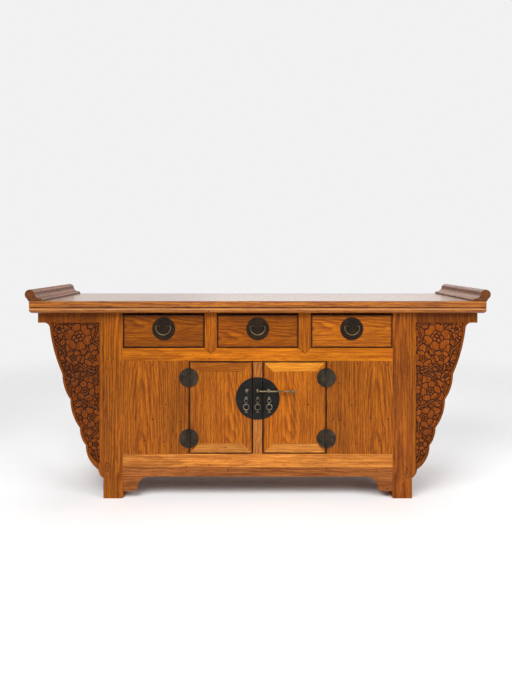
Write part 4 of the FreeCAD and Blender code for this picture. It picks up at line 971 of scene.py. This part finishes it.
def bent(bm, tip, centre, angle, steps):
    """Bends a wire on from its end face, round a point beside it."""
    swept = bmesh.ops.spin(bm, geom=tip, cent=centre, axis=(0, 1, 0), angle=math.radians(angle), steps=steps)
    return only(bmesh.types.BMFace, swept["geom_last"])


def make(bm, name, body, slot, material, *nodes):
    """Closes a mesh in millimetres into a piece that rides on a body and stands for CAD nodes."""
    bmesh.ops.remove_doubles(bm, verts=bm.verts, dist=0.004)
    bmesh.ops.recalc_face_normals(bm, faces=bm.faces)
    bmesh.ops.scale(bm, verts=bm.verts, vec=(MILLIMETRE, MILLIMETRE, MILLIMETRE))
    for face in bm.faces:
        face.smooth = True
    for edge in bm.edges:
        edge.smooth = edge.calc_face_angle(0) < CREASE
    piece = settle(bm, name, material)
    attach(piece, body)
    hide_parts(*nodes)


for name, middle in (("left", -DRAWER_PITCH), ("middle", 0.0), ("right", DRAWER_PITCH)):
    bm = bmesh.new()
    lathe(bm, PLATE_TURNED, (middle, DRAWER_FACE, HANDLE_RISE), OUTWARD, 96)
    for side in (-1, 1):
        lathe(bm, POST_TURNED, (middle + side * POST_OUT, DRAWER_FACE, BAIL_RISE), OUTWARD, 24)
    make(bm, f"{name}_handle_plate", f"{name}_drawer", "dark_brass", plate_brass, f"{name}_drawer_plate")
    bm = bmesh.new()
    start = Matrix.Translation((middle + POST_OUT - BAIL_IN, BAIL_LINE, BAIL_RISE))
    start = start @ Matrix.Rotation(math.radians(90), 4, "Y")
    ring = bmesh.ops.create_circle(bm, cap_ends=True, radius=BAIL_WIRE, segments=14, matrix=start)["verts"]
    tip = drawn(bm, [ring[0].link_faces[0]], BAIL_END)
    for across, angle, steps in BAIL_BENDS:
        tip = bent(bm, tip, (middle + across, BAIL_LINE, BAIL_RISE - BAIL_CORNER), angle, steps)
    drawn(bm, tip, BAIL_END)
    # the ends of earlier lengths, now walls inside the wire
    walls = [face for face in bm.faces if all(len(edge.link_faces) > 2 for edge in face.edges)]
    bmesh.ops.delete(bm, geom=walls, context="FACES_ONLY")
    make(bm, f"{name}_handle_bail", f"{name}_bail", "worn_brass", bail_brass, f"{name}_drawer_bail")

# Lock: a round plate in three parts on the doors and the post, an eye on each for the pin, and
# below it a smaller eye that carries a cast pull with a ring and a fish tail.
lock_brass = brass("lock_brass", (0.004, 0.004, 0.0035), (0.017, 0.0165, 0.015), wear=0.40, metallic=0.5)
eye_brass = brass("eye_brass", (0.034, 0.028, 0.021), (0.210, 0.170, 0.118), wear=0.52, metallic=0.8)
PLATE_FACE = -197
ROSE_TURNED = ((0, 0), (6.4, 0), (6.4, 0.5), (5.4, 1.2))
SHANK_IN = 0.8
# eyes: out from the middle, height, stand from the plate, radius, hole, breadth, shank
EYES = ((45, 447.5, 11, 8.5, 5.2, 5, 2.2), (47.5, 414, 8, 5, 2.5, 4, 1.6))
PULL_OUT = 47.5
PULL_LINE = -205
# rings of a pull: height, radius, thickness, breadth, steps
PULL_RINGS = ((406.5, 7.5, 1.25, 1.25, 32), (380, 11.5, 2.4, 1.45, 40))
NECK_RISE = 398.6
NECK_TURNED = ((0, 0), (2.0, 0.2), (2.4, 1.2), (1.9, 2.4), (2.4, 3.8), (2.0, 5.2), (0, 5.4))
TAIL = ((-2.4, 367.5), (2.4, 367.5), (2.0, 364.0), (7.6, 357.0), (4.4, 356.6), (0, 360.2), (-4.4, 356.6),
        (-7.6, 357.0), (-2.0, 364.0))
TAIL_HALF = 1.4
for name, place, body in (("left", -1, "left_door"), ("center", 0, "center_post"),
                          ("right", 1, "right_door")):
    dress(f"{name}_lock_plate", lock_brass, 0.4)
    bm = bmesh.new()
    for across, high, stand, radius, hole, broad, shank in EYES:
        x = place * across
        hoop(bm, (x, PLATE_FACE - stand, high), (1, 0, 0), (radius + hole) / 2, (radius - hole) / 2,
             broad / 2)
        tip = stand - radius + SHANK_IN
        lathe(bm, (*ROSE_TURNED, (shank + 0.5, 1.5), (shank, 2.2), (shank, tip), (0, tip)),
              (x, PLATE_FACE, high), OUTWARD, 24)
    make(bm, f"{name}_eyes", body, "worn_brass", eye_brass, f"{name}_lock_eyes")
    x = place * PULL_OUT
    bm = bmesh.new()
    for high, radius, thick, broad, steps in PULL_RINGS:
        hoop(bm, (x, PULL_LINE, high), (0, 1, 0), radius, thick, broad, steps)
    lathe(bm, NECK_TURNED, (x, PULL_LINE, NECK_RISE), (0, 0, -1), 16)
    tail = bm.faces.new([bm.verts.new((x + across, PULL_LINE - TAIL_HALF, high)) for across, high in TAIL])
    grown = bmesh.ops.extrude_face_region(bm, geom=[tail])["geom"]
    bmesh.ops.translate(bm, verts=only(bmesh.types.BMVert, grown), vec=(0, 2 * TAIL_HALF, 0))
    make(bm, f"{name}_fish_pull", f"{name}_pull", "worn_brass", eye_brass, f"{name}_pull")

# Lock pin: a turned brass rod with a ball head that slides through the three eyes, and a fine
# chain of bent links that hangs from a ring under the ball.
chain_brass = brass("chain_brass", (0.012, 0.008, 0.005), (0.070, 0.050, 0.030), wear=0.45, metallic=0.7)
PIN_TIP = (4.5, -208, 445.7)
ROD_TURNED = ((0, 0), (1.8, 0.3), (2.9, 2.0), (3.2, 6.0), (3.2, 126.2), (4.3, 127.2), (4.3, 129.4),
              (3.2, 130.6), (3.2, 131.6))
BALL = 8.4
BALL_FAR = 140
CHAIN_AT = (148.5, -208)
RING_RISE = 434.9
FIRST_LINK = 428.35
LINKS = 21
LINK_PITCH = 8.95
LINK_WIRE = 0.68
LINK_HALF = 2.8
LINK_STRAIGHT = 5
QUARTER = Matrix.Rotation(math.radians(90), 3, "Z")
turns = [math.radians(angle) for angle in range(30, 175, 12)]
ball = [(BALL * math.sin(turn), BALL_FAR - BALL * math.cos(turn)) for turn in turns]
bm = bmesh.new()
lathe(bm, (*ROD_TURNED, *ball, (0, BALL_FAR + BALL)), PIN_TIP, (1, 0, 0), 28)
hoop(bm, (*CHAIN_AT, RING_RISE), (0, 1, 0), radius=3.0, thick=0.78, broad=0.7, steps=20, corners=8)
make(bm, "turned_pin", "lock_pin", "worn_brass", bail_brass, "lock_pin")


def new_link(bm):
    """The verts of the link that stands at the origin, clear of those that already hang."""
    return [vert for vert in bm.verts if abs(vert.co.x) < 20]


bm = bmesh.new()
for number in range(LINKS):
    start = Matrix.Translation((LINK_HALF, 0, LINK_STRAIGHT / 2))
    part = loop_of(bmesh.ops.create_circle(bm, radius=LINK_WIRE, segments=8, matrix=start)["verts"])
    for end in (1, -1):
        swept = bmesh.ops.spin(bm, geom=part, cent=(0, 0, end * LINK_STRAIGHT / 2), axis=(0, -1, 0),
                               angle=math.pi, steps=8)
        grown = bmesh.ops.extrude_edge_only(bm, edges=only(bmesh.types.BMEdge, swept["geom_last"]))["geom"]
        bmesh.ops.translate(bm, verts=only(bmesh.types.BMVert, grown), vec=(0, 0, -end * LINK_STRAIGHT))
        part = only((bmesh.types.BMVert, bmesh.types.BMEdge), grown)
    bmesh.ops.remove_doubles(bm, verts=new_link(bm), dist=0.01)
    if number % 2 == 0:
        bmesh.ops.rotate(bm, verts=new_link(bm), cent=(0, 0, 0), matrix=QUARTER)
    bmesh.ops.translate(bm, verts=new_link(bm), vec=(*CHAIN_AT, FIRST_LINK - LINK_PITCH * number))
make(bm, "link_chain", "lock_pin", "worn_brass", chain_brass, "pin_chain")

low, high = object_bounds()
